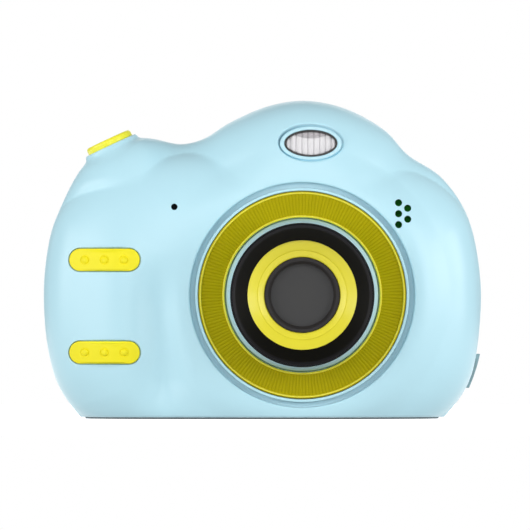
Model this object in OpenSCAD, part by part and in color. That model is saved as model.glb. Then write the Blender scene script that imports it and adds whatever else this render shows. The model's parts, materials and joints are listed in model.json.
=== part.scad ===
// Kids digital camera: a two-shell toy camera with a big ribbed lens ring,
// an oval flash window, rubber grip pads and a shutter button on its shoulder.
// Millimetres. +X is to the right seen from the front, the lens looks along -Y, +Z is up.
// The origin is the middle of the flat base, in the plane where the two shells meet.

/* [Body] */
// Depth of the front shell over its main swell
front_depth = 16; // [15.8:0.1:16.4]
// Depth of the rear shell, to its flat back
rear_depth = 15; // [14.9:0.1:15.4]
// Wall thickness of both shells
wall = 2; // [1.8:0.1:2.1]
// Depth of the finger hollow beside the grip
grip_dip = 2.4; // [0:0.1:2.6]

/* [Lens] */
// How far the lens front stands before the parting plane
lens_front = 25.5; // [25:0.1:27]
// Number of fine ribs on the face of the outer ring
ring_ribs = 180; // [60:10:180]

/* [Controls] */
// Travel of the shutter button
shutter_travel = 0.8; // [0.3:0.1:0.9]
// Radius of the rear button caps
cap_r = 3.1; // [2.6:0.1:3.1]
// How far the rear caps stand out of the back
cap_proud = 0.7; // [0.4:0.1:1]

/* [Hidden] */
$fn = 64;

// Where the main features sit
lens_x = 8.8;
lens_z = 27.2;
lens_face = 15.6;
form_x = 0;
form_z = 28;
flash_x = 10.7;
flash_z = 60.4;
flash_face = 14;
flash_tilt = 9;
seat_x = -33.3;
seat_z = 60.1;
seat_tilt = 25;
mic_spot = [-19.2, 46.5];
speaker_spot = [29.5, 44.5];
speaker_r = 6.2;
speaker_holes = [[29.9, 47.4], [29.9, 45], [29.9, 42.6], [31.9, 46.2], [31.9, 43.8]];
pad_x = -34.5;
pad_upper_z = 34.9;
pad_lower_z = 14.6;
pad_half_length = 7.85;
pad_half_height = 2.55;
case_spots = [[38.5, 10], [-39, 10], [-11, 52], [21.5, 58]];
board_spots = [[39, 44], [-39, 36], [-12, 6.8], [31, 8]];
window_x = 8.5;
window_z = 29;
nav_x = -28.5;
nav_z = 24;
nav_step = 8;
power_spot = [-28.5, 41];
key_spots = [power_spot, [nav_x, nav_z + nav_step], [nav_x, nav_z - nav_step],
    [nav_x - nav_step, nav_z], [nav_x + nav_step, nav_z], [nav_x, nav_z]];
lug_y = 5.2;
base_z = 0.35;

// Depths of the inner layers, along Y
board_front = 1.6;
board_back = 2.8;
moat_floor = 12.6;
seat_back = 10.6;
key_ceiling = 12.9;
window_floor = 14;
window_face = 14.8;
lcd_back = 10.2;
lcd_face = 12.2;
speaker_floor = 10.9;
mic_floor = 12.6;

// The side door and what lies behind it
door_low = 16;
door_high = 41;
door_near = 2;
door_far = 10.2;
door_thick = 1.6;
usb_z = 21.3;
card_z = 33.6;

// Gaps: between a moving piece and its hole, and between fitted pieces
slip = 0.1;
fit = 0.05;

// Outline seen from the front, anticlockwise from the middle of the bottom; the base cuts it
outline_points = [
    [0, -9], [20, -8], [34, -4.5], [42, 2.6], [46.2, 10], [48, 22], [47.8, 33], [45.2, 44.5],
    [39.5, 53], [32, 58], [27, 63.4], [18.5, 68.1], [9.5, 69.9], [1, 68.6], [-7.2, 65],
    [-12.6, 61.6], [-18, 60.3], [-23.6, 61.5], [-28.5, 61.8], [-33.5, 59.8], [-37.9, 57.2],
    [-40.8, 53.4], [-43.7, 47.7], [-46.6, 40], [-48, 28], [-46.9, 14.5],
    [-43.2, 4.6], [-34, -4.5], [-20, -8]
];
outer_levels = [0.2, 0.38, 0.54, 0.68, 0.79, 0.87, 0.93, 0.975, 1];
inner_levels = [0.3, 0.55, 0.72, 0.85, 0.95];

// Smooth steps and blends
function ease(a, b, x) = let(t = min(max((x - a) / (b - a), 0), 1)) t * t * (3 - 2 * t);
function mix(a, b, t) = a * (1 - t) + b * t;
function bell(x, middle, width) = exp(-pow((x - middle) / width, 2));
function soft_max(a, b, k) = max(a, b) + pow(max(k - abs(a - b), 0), 2) / (4 * max(k, 0.001));
function soft_min(a, b, k) = -soft_max(-a, -b, k);

// A smooth closed curve through the given points
function catmull(a, b, c, d, t) = 0.5 * (2 * b + (c - a) * t
    + (2 * a - 5 * b + 4 * c - d) * t * t + (3 * b - a - 3 * c + d) * t * t * t);
function smooth_loop(points, steps) = let(n = len(points)) [
    for (i = [0:n - 1], k = [0:steps - 1])
        catmull(points[(i + n - 1) % n], points[i], points[(i + 1) % n], points[(i + 2) % n],
            k / steps)
];
rim_fine = smooth_loop(outline_points, 3);
rim_coarse = smooth_loop(outline_points, 2);

// How far out a point lies: 0 at the form's middle, 1 on the outline
function rho_of(x, z) = let(p = [x - form_x, z - form_z], n = len(rim_fine)) [
    for (i = [0:n - 1]) let(a = rim_fine[i] - [form_x, form_z],
        b = rim_fine[(i + 1) % n] - [form_x, form_z])
        if (cross(a, p) >= 0 && cross(p, b) > 0) cross(p, b - a) / cross(a, b - a)
][0];

// Depth of the rounded body in front of the parting plane
function edge(rho, power) = pow(max(1 - pow(rho, power), 0), 0.4545);
function main_rho(x, z) = pow(pow(abs(x) / 48, 3) + pow(abs(z - 26) / 33.5, 3), 1 / 3);
function mound(x, z) = ease(-20, -27, x) * ease(44, 53, z);
function dome(x, z) = exp(-pow((x - 9.5) / 21, 4)) * ease(40, 54, z);
function lump(x, z, rho) = let(m = mound(x, z), d = dome(x, z)) soft_max(
    (9.5 + 2.3 * m + 5.7 * d) * edge(rho, 4.5 + 4 * m + 3.5 * d),
    front_depth * edge(max(main_rho(x, z), rho), 4.5),
    1.1 * (1 - pow(rho, 8)));
front_at = function(x, z, rho) mix(lens_face,
    lump(x, z, rho) + bell(x, -32, 6.5) * ease(46, 30, z) * (1 - pow(rho, 6))
        - grip_dip * bell(x, -21.5, 4.6) * ease(0, 9, z) * ease(37, 24, z),
    ease(24.6, 33, norm([x - lens_x, z - lens_z])));
rear_at = function(x, z, rho) soft_min(lump(x, z, rho) * 1.2, rear_depth, 1.4);

// A closed solid from a tip point, over rings of points, to a tail point
module loft(tip, loops, tail, flip) {
    n = len(loops[0]);
    m = len(loops);
    last = 1 + m * n;
    faces = concat(
        [for (i = [0:n - 1]) [0, 1 + (i + 1) % n, 1 + i]],
        [for (j = [0:m - 2], i = [0:n - 1]) let(a = 1 + j * n + i, b = 1 + j * n + (i + 1) % n)
            [a, b, b + n]],
        [for (j = [0:m - 2], i = [0:n - 1]) let(a = 1 + j * n + i, b = 1 + j * n + (i + 1) % n)
            [a, b + n, a + n]],
        [for (i = [0:n - 1]) [last, last - n + i, last - n + (i + 1) % n]]);
    polyhedron([tip, for (loop = loops) each loop, tail],
        flip ? [for (f = faces) [f[2], f[1], f[0]]] : faces, 10);
}
function ring_at(rim, rho, side, depth, less) = [for (p = rim)
    let(x = form_x + rho * (p[0] - form_x), z = form_z + rho * (p[1] - form_z))
    [x, side * (depth(x, z, rho) - less), z]];
function flat_ring(rim, rho, y) = [for (p = rim)
    [form_x + rho * (p[0] - form_x), y, form_z + rho * (p[1] - form_z)]];
module outer_form(side, depth) loft(
    [form_x, side * depth(form_x, form_z, 0), form_z],
    [for (rho = outer_levels) ring_at(rim_fine, rho, side, depth, 0)],
    [form_x, 0, form_z], side > 0);
module inner_form(side, depth) loft(
    [form_x, side * (depth(form_x, form_z, 0) - wall), form_z],
    concat([for (rho = inner_levels) ring_at(rim_coarse, rho, side, depth, wall)],
        [flat_ring(rim_coarse, inner_levels[len(inner_levels) - 1], -side)]),
    [form_x, -side, form_z], side > 0);

// A pill-shaped slab that follows the front surface, between two depths below it
function pill(x, z, half_length, half_height) = [for (i = [0:31])
    let(a = 5.625 + i * 11.25, side = cos(a) > 0 ? 1 : -1)
    [x + side * (half_length - half_height) + half_height * cos(a), z + half_height * sin(a)]];
function on_front(x, z, below) = [x, below - front_at(x, z, rho_of(x, z)), z];
module front_slab(x, z, half_length, half_height, top, bottom) {
    rim = pill(x, z, half_length, half_height);
    levels = [0.35, 0.7, 0.92, 1];
    function ring(s, below) = [for (p = rim) on_front(mix(x, p[0], s), mix(z, p[1], s), below)];
    loft(on_front(x, z, top),
        concat([for (s = levels) ring(s, top + (s == 1 ? 0.2 : 0))],
            [for (s = [1, 0.7, 0.35]) ring(s, bottom)]),
        on_front(x, z, bottom), false);
}

// Plain helpers
module block(a, b) translate(a) cube(b - a);
module above(height) block([-60, -40, height], [60, 40, 90]);
module pin(spot, r, low, high) translate([spot[0], low, spot[1]]) rotate([-90, 0, 0])
    cylinder(r = r, h = high - low);
module on_lens() translate([lens_x, 0, lens_z]) rotate([90, 0, 0]) children();
module on_flash() translate([flash_x, -flash_face, flash_z]) rotate([90 - flash_tilt, 0, 0])
    children();
module on_seat() translate([seat_x, 0, seat_z]) rotate([0, -seat_tilt, 0]) children();
module up(z) translate([0, 0, z]) children();
function oval(a, b) = [for (i = [0:47]) [a * cos(i * 7.5), b * sin(i * 7.5)]];
module oval_plug(a, b, low, high) up(low) linear_extrude(high - low) polygon(oval(a, b));
module lens_turned(profile) on_lens() rotate_extrude($fn = 96) polygon(profile);
function rounded_plate(w, h, r) = [for (q = [0:3], i = [0:6])
    let(a = q * 90 + i * 15, sx = q == 0 || q == 3 ? 1 : -1, sz = q < 2 ? 1 : -1)
    [sx * (w / 2 - r) + r * cos(a), sz * (h / 2 - r) + r * sin(a)]];
module plate(x, z, w, h, r, low, high) translate([x, high, z]) rotate([90, 0, 0])
    linear_extrude(high - low) polygon(rounded_plate(w, h, r));

// Features that both shells share
module collar() on_seat() {
    up(-4) cylinder(r1 = 8.2, r2 = 6.1, h = 3.2);
    up(-1.2) cylinder(r = 6.1, h = 1.2);
}
module seat_bores() on_seat() {
    up(-8) cylinder(r = 5.25 + slip, h = 12);
    up(-7) cylinder(r = 6.3, h = 4.8);
}
module seat_body() on_seat() up(-2.2) cylinder(r = 9, h = 6);
module board_ledges() on_seat() for (u = [-8, 4.8]) translate([u, -9, -12.7]) cube([3.2, 18, 1.2]);
module base_recess() linear_extrude(1.05) polygon(base_outline(0.1));
function base_outline(grow) = [for (i = [0:71]) let(a = i * 5, c = cos(a), s = sin(a))
    [(38.9 + grow) * sign(c) * pow(abs(c), 0.667), (12.8 + grow) * sign(s) * pow(abs(s), 0.909)]];

module front_shell() color("#c8f1ff") {
    difference() {
        union() {
            intersection() {
                outer_form(-1, front_at);
                above(base_z);
            }
            intersection() {
                collar();
                block([-60, -40, 40], [0, 0, 80]);
            }
        }
        difference() {
            intersection() {
                inner_form(-1, front_at);
                above(2.6);
            }
            for (s = case_spots) pin(s, 2.8, -18, 2);
            for (s = board_spots) pin(s, 2.3, -18, 2);
            pin([lens_x, lens_z], 26.6, -18, -seat_back);
            pin(speaker_spot, speaker_r + 1.3, -18, -8.6);
            pin(mic_spot, 3.7, -18, -10.4);
            on_flash() oval_plug(8.6, 5.7, -5.7, 4);
            seat_body();
            board_ledges();
        }
        lens_turned([[0, moat_floor], [23.5, moat_floor], [23.5, 14], [24.6, 14], [24.6, 15],
            [24.85, 15.4], [25.6, 15.8], [25.6, 18], [0, 18]]);
        pin([lens_x, lens_z], 18.9, -14, -9);
        for (a = [90, 210, 330]) on_lens() rotate([0, 0, a]) translate([21.2, 0, 9])
            cylinder(r = 1.1, h = 5);
        for (s = case_spots) pin(s, 1, -8, 1);
        for (s = board_spots) pin(s, 1, -5, 3);
        on_flash() {
            difference() {
                oval_plug(7.4, 4.5, -1.5, 5);
                oval_plug(6.75, 3.75, -2, 0.3);
            }
            oval_plug(5.85, 3, -9, 5);
        }
        pin(speaker_spot, speaker_r + 0.1, -speaker_floor, -6);
        for (s = speaker_holes) pin(s, 0.78, -18, -10);
        pin(mic_spot, 2.85, -mic_floor, -8);
        pin(mic_spot, 0.7, -18, -12);
        for (z = [pad_upper_z, pad_lower_z])
            front_slab(pad_x, z, pad_half_length + 0.1, pad_half_height + 0.1, -3, 1.3);
        seat_bores();
        base_recess();
    }
    difference() {
        for (s = board_spots) pin(s, 2.3, -1, board_front);
        for (s = board_spots) pin(s, 1, -2, 3);
    }
}

// The hollow behind the strap bar and the pockets of its two feet
module strap_scoop() {
    translate([47, lug_y, 8.1]) cylinder(r = 5, h = 4.7);
    for (z = [6.65, 12.8]) block([41.4, lug_y - 2 - fit, z], [50, lug_y + 2 + fit, z + 1.45]);
}

module rear_shell() color("#c8f1ff") difference() {
    union() {
        intersection() {
            outer_form(1, rear_at);
            above(base_z);
        }
        intersection() {
            collar();
            block([-60, 0, 40], [0, 40, 80]);
        }
    }
    difference() {
        intersection() {
            inner_form(1, rear_at);
            above(2.6);
        }
        for (s = case_spots) pin(s, 3.4, -2, 18);
        block([41.5, 0.6, 14], [50, 12, 43]);
        seat_body();
        board_ledges();
        block([39.6, -1, 5], [50, 13, 16]);
    }
    for (s = case_spots) {
        pin(s, 2.2, 3.6, 20);
        pin(s, 1.15, -1, 5);
    }
    for (s = key_spots) {
        pin(s, cap_r + slip, 10, 18);
        pin(s, cap_r + 0.95, 6, key_ceiling);
    }
    plate(window_x, window_z, 44.2, 34.2, 2.6, window_floor, 18);
    plate(window_x, window_z, 41.4, 31.4, 1.5, 10, 18);
    difference() {
        block([40, door_near - 0.2, door_low - 0.2], [52, door_far + 0.2, door_high + 0.2]);
        translate([-door_thick - 0.15, 0, 0]) outer_form(1, rear_at);
    }
    block([40, board_back - 0.2, usb_z - 4.1], [50, 5.7, usb_z + 4.1]);
    block([40, 3.1, card_z - 5.8], [50, 4.7, card_z + 5.8]);
    seat_bores();
    strap_scoop();
    base_recess();
}

module base_pad() color("#48565d") linear_extrude(1) polygon(base_outline(0));

// Lens, seen as radius and distance before the parting plane
module lens_barrel() color("#cdf1ef") difference() {
    lens_turned([
        [12.4, 9.6], [18.8, 9.6], [18.8, moat_floor], [23.45, moat_floor], [23.45, 15.8],
        [23.3, 15.95], [22.8, 15.95], [22.75, 14.6], [16.85, 14.6], [16.6, 16],
        [15.75, lens_front - 0.2], [15.55, lens_front], [15.5, 21], [13.5, 21], [13.5, 13],
        [12.4, 13]
    ]);
    for (a = [90, 210, 330]) on_lens() rotate([0, 0, a]) translate([21.2, 0, 12])
        cylinder(r = 1, h = 2.3);
}
module lens_outer_ring() color("#9d9506") {
    lens_turned([
        [16.95, 14.65], [22.7, 14.65], [22.7, 15.9], [22.45, 16.15], [22.2, 16.15], [22.05, 15.75],
        [17.5, 15.75], [17.35, 16.15], [17.15, 16.15], [16.95, 15.9]
    ]);
    on_lens() up(15.7) difference() {
        linear_extrude(0.22) polygon([
            for (i = [0:ring_ribs - 1], k = [0:3]) let(pitch = 360 / ring_ribs,
                a = pitch * (i + [-0.25, -0.25, 0.25, 0.25][k]), r = [17.3, 22.2, 22.2, 17.3][k])
                [r * cos(a), r * sin(a)]
        ]);
        up(-1) cylinder(r = 17.4, h = 3);
    }
}
module lens_bezel() color("#151515") lens_turned([
    [11.95, 21.05], [15.45, 21.05], [15.45, lens_front - 0.1], [15.3, lens_front],
    [14.7, lens_front - 0.4], [11.95, 21.7]
]);
module lens_cone_ring() color("#fcf35b") lens_turned([
    [8.3, 17], [13.4, 17], [13.4, 20.95], [12, 20.95], [10.1, 19.55], [10, 19.4], [8.3, 18.3]
]);
module lens_retaining_ring() color("#1c1c1e") lens_turned([
    [6.85, 16.4], [8.25, 16.4], [8.25, 18.4], [8.05, 18.6], [7.5, 18.6], [6.85, 17.9]
]);
module lens_window() color("#4d4d4d") lens_turned([[0, 15.25], [8.2, 15.25], [8.2, 16.35], [0, 16.35]]);
module lens_cell() color("#202022") lens_turned([
    [6.4, 2.2], [8.2, 2.2], [8.2, 13.05], [13.4, 13.05], [13.4, 16.95], [8.3, 16.95],
    [8.3, 15.2], [6.4, 15.2]
]);
function lens_arc(r, middle, sag, rise) = [for (i = [0:6]) let(u = i / 6)
    [r * u, middle + rise * sag * (1 - u * u)]];
module glass_element(middle, front_sag, back_sag) lens_turned(concat(
    [for (p = lens_arc(6.35, middle + 0.8, front_sag, 1)) p],
    [for (i = [6:-1:0]) lens_arc(6.35, middle - 0.8, back_sag, -1)[i]]));
module lens_element_front() color("#c9d4d8") glass_element(11.6, 1.5, 0.6);
module lens_element_rear() color("#c9d4d8") glass_element(6.2, 0.5, 1.2);
module lens_holder() color("#202022") difference() {
    block([lens_x - 10, -6.5, lens_z - 10], [lens_x + 10, -1.25, lens_z + 10]);
    pin([lens_x, lens_z], 8.25, -7, -2.15);
    block([lens_x - 5, -3, lens_z - 5], [lens_x + 5, -1, lens_z + 5]);
}
module image_sensor() color("#2b3a55")
    block([lens_x - 4, -2.1, lens_z - 3.5], [lens_x + 4, -1.25, lens_z + 3.5]);
module sensor_board() color("#1d5c38")
    block([lens_x - 11, -1.2, lens_z - 11], [lens_x + 11, -0.4, lens_z + 11]);
module sensor_flex() color("#b8862b") translate([lens_x - 5, 0, 0]) rotate([90, 0, 90])
    linear_extrude(10) polygon([
        [-0.35, lens_z - 4], [-0.05, lens_z - 4], [-0.05, 11.3], [0.6, 11.3], [0.6, 11],
        [-0.35, 11]
    ]);

// Flash, in its own frame: Z out of the window
module flash_rim() color("#3a3f45") on_flash() difference() {
    oval_plug(5.8, 2.95, -2.4, 0.15);
    oval_plug(5.35, 2.55, -3, 1);
}
module flash_lens() color("#e6e2e4") on_flash() intersection() {
    oval_plug(5.3, 2.5, -2.3, 1);
    union() {
        translate([-6, -4, -2.3]) cube([12, 8, 1.5]);
        for (i = [-3.5:3.5]) translate([i * 1.36, 4, -0.8]) rotate([90, 0, 0])
            cylinder(r = 0.68, h = 8);
    }
}
module flash_reflector() color("#d5d5d8") on_flash() difference() {
    oval_plug(5.75, 2.9, -5.6, -2.5);
    hull() {
        oval_plug(5.3, 2.5, -2.6, -2.4);
        oval_plug(2.4, 1.7, -5.2, -5.1);
    }
    oval_plug(2.4, 1.7, -6, -5);
}
module flash_led() color("#f2e68c") on_flash() translate([-1.5, -1.2, -5.7]) cube([3, 2.4, 0.9]);
module flash_board() color("#1d5c38") on_flash() translate([-7, -3.6, -6.6]) cube([14, 7.2, 0.85]);

// Soft pads beside the grip, each with three round studs
module grip_pad(z) color("#fae92b") {
    front_slab(pad_x, z, pad_half_length, pad_half_height, -0.15, 1.2);
    for (i = [-1:1]) translate(on_front(pad_x + i * 4.3, z, 0.3)) sphere(r = 0.9);
}
module grip_pad_upper() grip_pad(pad_upper_z);
module grip_pad_lower() grip_pad(pad_lower_z);

// Sound
module mic_boot() color("#2a2a2a") difference() {
    pin(mic_spot, 2.8, -mic_floor, -10.2);
    pin(mic_spot, 2.05, -12, -9);
    pin(mic_spot, 0.7, -13, -11);
}
module microphone() color("#1c1c1e") pin(mic_spot, 2, -11.95, -10.3);
module speaker_mesh() color("#025000") pin(speaker_spot, speaker_r, -speaker_floor, -10.6);
module speaker() color("#3c3c40") {
    pin(speaker_spot, speaker_r, -10.55, -8.8);
    pin(speaker_spot, 4, -9, -6.6);
}

// Shutter, in its own frame: Z out of the seat
module shutter_button() color("#ffff53") on_seat() rotate_extrude() polygon([
    [0, -5.5], [1.6, -5.5], [1.6, -3.1], [5.95, -3.1], [5.95, -2.3], [5.25, -2.3], [5.25, 1.05],
    [5.1, 1.35], [4.7, 1.5], [0, 1.5]
]);
module shutter_plunger() color("#26282a") on_seat() up(-7.5) cylinder(r = 1.1, h = 2);
module shutter_switch() color("#3a3d40") on_seat() difference() {
    translate([-3, -3, -10.6]) cube([6, 6, 3.7]);
    up(-7.5 - shutter_travel - 0.2) cylinder(r = 1.1 + slip, h = 4);
}
module shutter_board() color("#1d5c38") on_seat() translate([-5.5, -4.5, -11.5]) cube([11, 9, 0.9]);

// Strap bar on the side, over a scoop in the rear shell
module strap_lug() color("#9dbcc3") translate([0, lug_y + 2, 0]) rotate([90, 0, 0]) linear_extrude(4) polygon([
    [41.5, 6.7], [45.6, 6.7], [46.55, 9], [47.4, 11.6], [48.05, 14.2], [41.5, 14.2],
    [41.5, 12.9], [45.5, 12.9], [44.9, 10.6], [44.1, 8], [41.5, 8]
]);

// Side door over the sockets
module port_door() color("#b9e6f5") intersection() {
    difference() {
        outer_form(1, rear_at);
        translate([-door_thick, 0, 0]) outer_form(1, rear_at);
    }
    block([40, door_near, door_low], [52, door_far, door_high]);
}
module usb_socket() color("#c3c6ca") difference() {
    block([39.5, board_back + fit, usb_z - 3.8], [44.8, 5.45, usb_z + 3.8]);
    block([40.5, 3.25, usb_z - 3.4], [46, 5.05, usb_z + 3.4]);
}
module card_socket() color("#c3c6ca") difference() {
    block([28, board_back + fit, card_z - 7], [41.4, 4.85, card_z + 7]);
    block([28.9, 3.3, card_z - 5.7], [42, 4.45, card_z + 5.7]);
}
module memory_card() color("#1f2226") difference() {
    block([30.1, 3.45, card_z - 5.5], [43.7, 4.3, card_z + 5.5]);
    block([30, 3, card_z + 4.2], [36, 5, card_z + 6]);
}

// Electronics
module main_pcb() color("#1d5c38") difference() {
    block([-41, board_front, 5], [41, board_back, 46]);
    block([34.9, 1, 4], [42, 4, 16.8]);
    block([-42, 1, 4], [-35.4, 4, 13.6]);
    block([-42, 1, 44.4], [-20, 4, 47]);
    for (s = board_spots) pin(s, 1.1, 1, 4);
}
module pcb_chips() color("#1a1b1d") {
    block([-2, board_back + fit, 21], [10, 4.1, 33]);
    block([14, board_back + fit, 30], [24, 3.9, 37]);
    block([-11, board_back + fit, 32], [-5, 3.8, 38]);
    block([2, board_back + fit, 16.4], [14, 4.2, 19.4]);
    block([2, 0.65, 10.2], [15.6, board_front - fit, 13.2]);
    block([-10, board_back + fit, 10], [-4, 5.2, 14]);
    block([-14.9, -0.4, 31.5], [-10.4, board_front - fit, 35.95]);
}
module battery() color("#8f9499") block([-35.3, -4, 8], [-15, board_front - fit, 35.5]);
// Points of the battery lead's two wires, which leave the cell at its top edge
lead_route = [[-26, -1.5, 35.5], [-26, -1.5, 38], [-24, -0.8, 40], [-20, 0, 41], [-16, 0.4, 40.5],
    [-13.7, 0.6, 38.5], [-13.7, 0.6, 36.1]];
function lead_ring(i, r, dx) = let(n = len(lead_route),
    t = lead_route[min(i + 1, n - 1)] - lead_route[max(i - 1, 0)],
    w = t / norm(t), u = cross(w, [0, 1, 0]) / norm(cross(w, [0, 1, 0])), v = cross(w, u))
    [for (k = [0:7]) lead_route[i] + dx * u + r * cos(k * 45) * u + r * sin(k * 45) * v];
module battery_lead() color("#c03030") for (dx = [-0.7, 0.7])
    loft(lead_route[0] + dx * [-1, 0, 0], [for (i = [0:len(lead_route) - 1]) lead_ring(i, 0.6, dx)],
        lead_route[len(lead_route) - 1] + dx * [1, 0, 0], false);

module lcd_panel() color("#20242a") plate(window_x, window_z, 45.4, 34.4, 0.5, lcd_back, lcd_face);
module lcd_frame() color("#e4e4e0") {
    difference() {
        plate(window_x, window_z, 47.2, 36.2, 2, lcd_back - 1, lcd_face + 0.1);
        plate(window_x, window_z, 45.5, 34.5, 0.5, lcd_back - fit, 14);
        plate(window_x, window_z, 38, 26, 1, 9, 14);
    }
    for (x = [-22.5, 22.5], z = [-15.5, 15.5])
        pin([window_x + x, window_z + z], 1, board_back + fit, lcd_back - 0.5);
}
module lcd_flex() color("#b8862b") translate([3, 0, 0]) rotate([90, 0, 90]) linear_extrude(9)
    polygon([
        [lcd_back - fit, 25], [lcd_back - 0.35, 25], [lcd_back - 0.35, 18.2], [4.3, 18.2],
        [4.3, 17.9], [lcd_back - fit, 17.9]
    ]);
module display_window() color("#14181c")
    plate(window_x, window_z, 44, 34, 2.5, window_floor + fit, window_face);

// Rear buttons: a round cap with a flange and a stem on the switch plunger
module cap(spot) color("#fae92b") translate([spot[0], 0, spot[1]]) rotate([-90, 0, 0]) rotate_extrude()
    polygon([
        [0, 8], [1.6, 8], [1.6, 12], [cap_r + 0.8, 12], [cap_r + 0.8, key_ceiling - fit],
        [cap_r, key_ceiling - fit], [cap_r, rear_depth + cap_proud - 0.4],
        [cap_r - 0.12, rear_depth + cap_proud - 0.12], [cap_r - 0.4, rear_depth + cap_proud],
        [0, rear_depth + cap_proud]
    ]);
module plunger(spot) color("#26282a") pin(spot, 1.75, 5.7, 8);
module power_button() cap(key_spots[0]);
module up_button() cap(key_spots[1]);
module down_button() cap(key_spots[2]);
module left_button() cap(key_spots[3]);
module right_button() cap(key_spots[4]);
module ok_button() cap(key_spots[5]);
module power_plunger() plunger(key_spots[0]);
module up_plunger() plunger(key_spots[1]);
module down_plunger() plunger(key_spots[2]);
module left_plunger() plunger(key_spots[3]);
module right_plunger() plunger(key_spots[4]);
module ok_plunger() plunger(key_spots[5]);
module tact_switches() color("#3a3d40") for (s = key_spots) difference() {
    block([s[0] - 3, board_back + fit, s[1] - 3], [s[0] + 3, 6.3, s[1] + 3]);
    pin(s, 1.75 + slip, 5, 7);
}

// Fasteners
module screw(spot, head_y, head_h, head_r, length) difference() {
    union() {
        pin(spot, head_r, head_y, head_y + head_h);
        pin(spot, 0.95, head_y - length, head_y + 0.2);
    }
    for (a = [0, 90]) translate([spot[0], head_y + head_h, spot[1]]) rotate([0, a, 0])
        block([-1.1, -0.7, -0.2], [1.1, 1, 0.2]);
}
module case_screws() color("#a9acb0") for (s = case_spots) screw(s, 3.6 + fit, 1.4, 1.9, 10);
module inner_screws() color("#a9acb0") {
    for (s = board_spots) screw(s, board_back + fit, 1.1, 1.8, 6);
    for (a = [90, 210, 330])
        screw([lens_x + 21.2 * cos(a), lens_z + 21.2 * sin(a)], -seat_back + fit, 1.1, 1.8, 3.5);
}

front_shell();
rear_shell();
base_pad();
lens_barrel();
lens_outer_ring();
lens_bezel();
lens_cone_ring();
lens_retaining_ring();
lens_window();
lens_cell();
lens_element_front();
lens_element_rear();
lens_holder();
image_sensor();
sensor_board();
sensor_flex();
flash_rim();
flash_lens();
flash_reflector();
flash_led();
flash_board();
grip_pad_upper();
grip_pad_lower();
microphone();
mic_boot();
speaker();
speaker_mesh();
shutter_button();
shutter_plunger();
shutter_switch();
shutter_board();
strap_lug();
port_door();
usb_socket();
card_socket();
memory_card();
main_pcb();
pcb_chips();
battery();
battery_lead();
lcd_panel();
lcd_frame();
lcd_flex();
display_window();
power_button();
up_button();
down_button();
left_button();
right_button();
ok_button();
power_plunger();
up_plunger();
down_plunger();
left_plunger();
right_plunger();
ok_plunger();
tact_switches();
case_screws();
inner_screws();
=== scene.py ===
"""Looks of the kids digital camera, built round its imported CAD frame.

Shapes are worked out in millimetres in the frame's axes: +X right seen from the front, the lens looks
along -Y, +Z up. A mesh is scaled to metres when it becomes a Blender object.
"""

import json
import math

import bmesh
import bpy
import numpy as np
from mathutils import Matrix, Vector, kdtree
from mathutils.geometry import delaunay_2d_cdt


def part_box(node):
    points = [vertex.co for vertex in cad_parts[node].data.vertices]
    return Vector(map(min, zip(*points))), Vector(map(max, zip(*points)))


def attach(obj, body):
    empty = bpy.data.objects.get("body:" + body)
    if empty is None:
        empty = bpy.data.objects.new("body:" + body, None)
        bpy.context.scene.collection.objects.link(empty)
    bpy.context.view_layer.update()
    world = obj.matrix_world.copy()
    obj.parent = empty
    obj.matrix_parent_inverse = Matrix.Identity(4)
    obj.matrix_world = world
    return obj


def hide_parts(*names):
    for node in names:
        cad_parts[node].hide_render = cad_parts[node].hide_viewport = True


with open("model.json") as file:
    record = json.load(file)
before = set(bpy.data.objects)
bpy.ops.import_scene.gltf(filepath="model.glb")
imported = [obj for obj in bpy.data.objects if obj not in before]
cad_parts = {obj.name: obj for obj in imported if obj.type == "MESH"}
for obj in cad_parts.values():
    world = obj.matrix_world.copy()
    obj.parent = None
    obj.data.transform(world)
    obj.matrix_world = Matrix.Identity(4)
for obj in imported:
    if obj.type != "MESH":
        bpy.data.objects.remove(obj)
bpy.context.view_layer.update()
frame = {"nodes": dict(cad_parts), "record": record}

MM = 0.001


def middle_of(node):
    """Centre of a CAD node in millimetres."""
    low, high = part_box(node)
    return np.array((low + high) / 2) / MM


def span_of(node):
    """Size of a CAD node along X, Y and Z in millimetres."""
    low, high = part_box(node)
    return np.array(high - low) / MM


def full_turn(n):
    """This many angles, evenly all round."""
    return np.linspace(0, math.tau, n, endpoint=False)


def stack(*columns):
    """Points from their coordinates. A coordinate that all of them share may be one number."""
    return np.stack(np.broadcast_arrays(*columns), -1)


# ---- The case's own form: outline and depth, as the design has them ----

MIDDLE = np.array([0.0, 28.0])
OUTLINE = [
    (0, -9), (20, -8), (34, -4.5), (42, 2.6), (46.2, 10), (48, 22), (47.8, 33), (45.2, 44.5),
    (39.5, 53), (32, 58), (27, 63.4), (18.5, 68.1), (9.5, 69.9), (1, 68.6), (-7.2, 65),
    (-12.6, 61.6), (-18, 60.3), (-23.6, 61.5), (-28.5, 61.8), (-33.5, 59.8), (-37.9, 57.2),
    (-40.8, 53.4), (-43.7, 47.7), (-46.6, 40), (-48, 28), (-46.9, 14.5),
    (-43.2, 4.6), (-34, -4.5), (-20, -8),
]
FRONT_DEPTH, REAR_DEPTH, WALL, GRIP_DIP = 16.0, 15.0, 2.0, 2.4
LENS_FACE = 15.6
BASE_Z, BASE_LIP, FLOOR_Z = 0.35, 0.5, 2.6
LENS = middle_of("lens_window")[[0, 2]]
TURNS = 2880
TABLE_ANGLES = np.linspace(-math.pi, math.pi, TURNS, endpoint=False)


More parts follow.
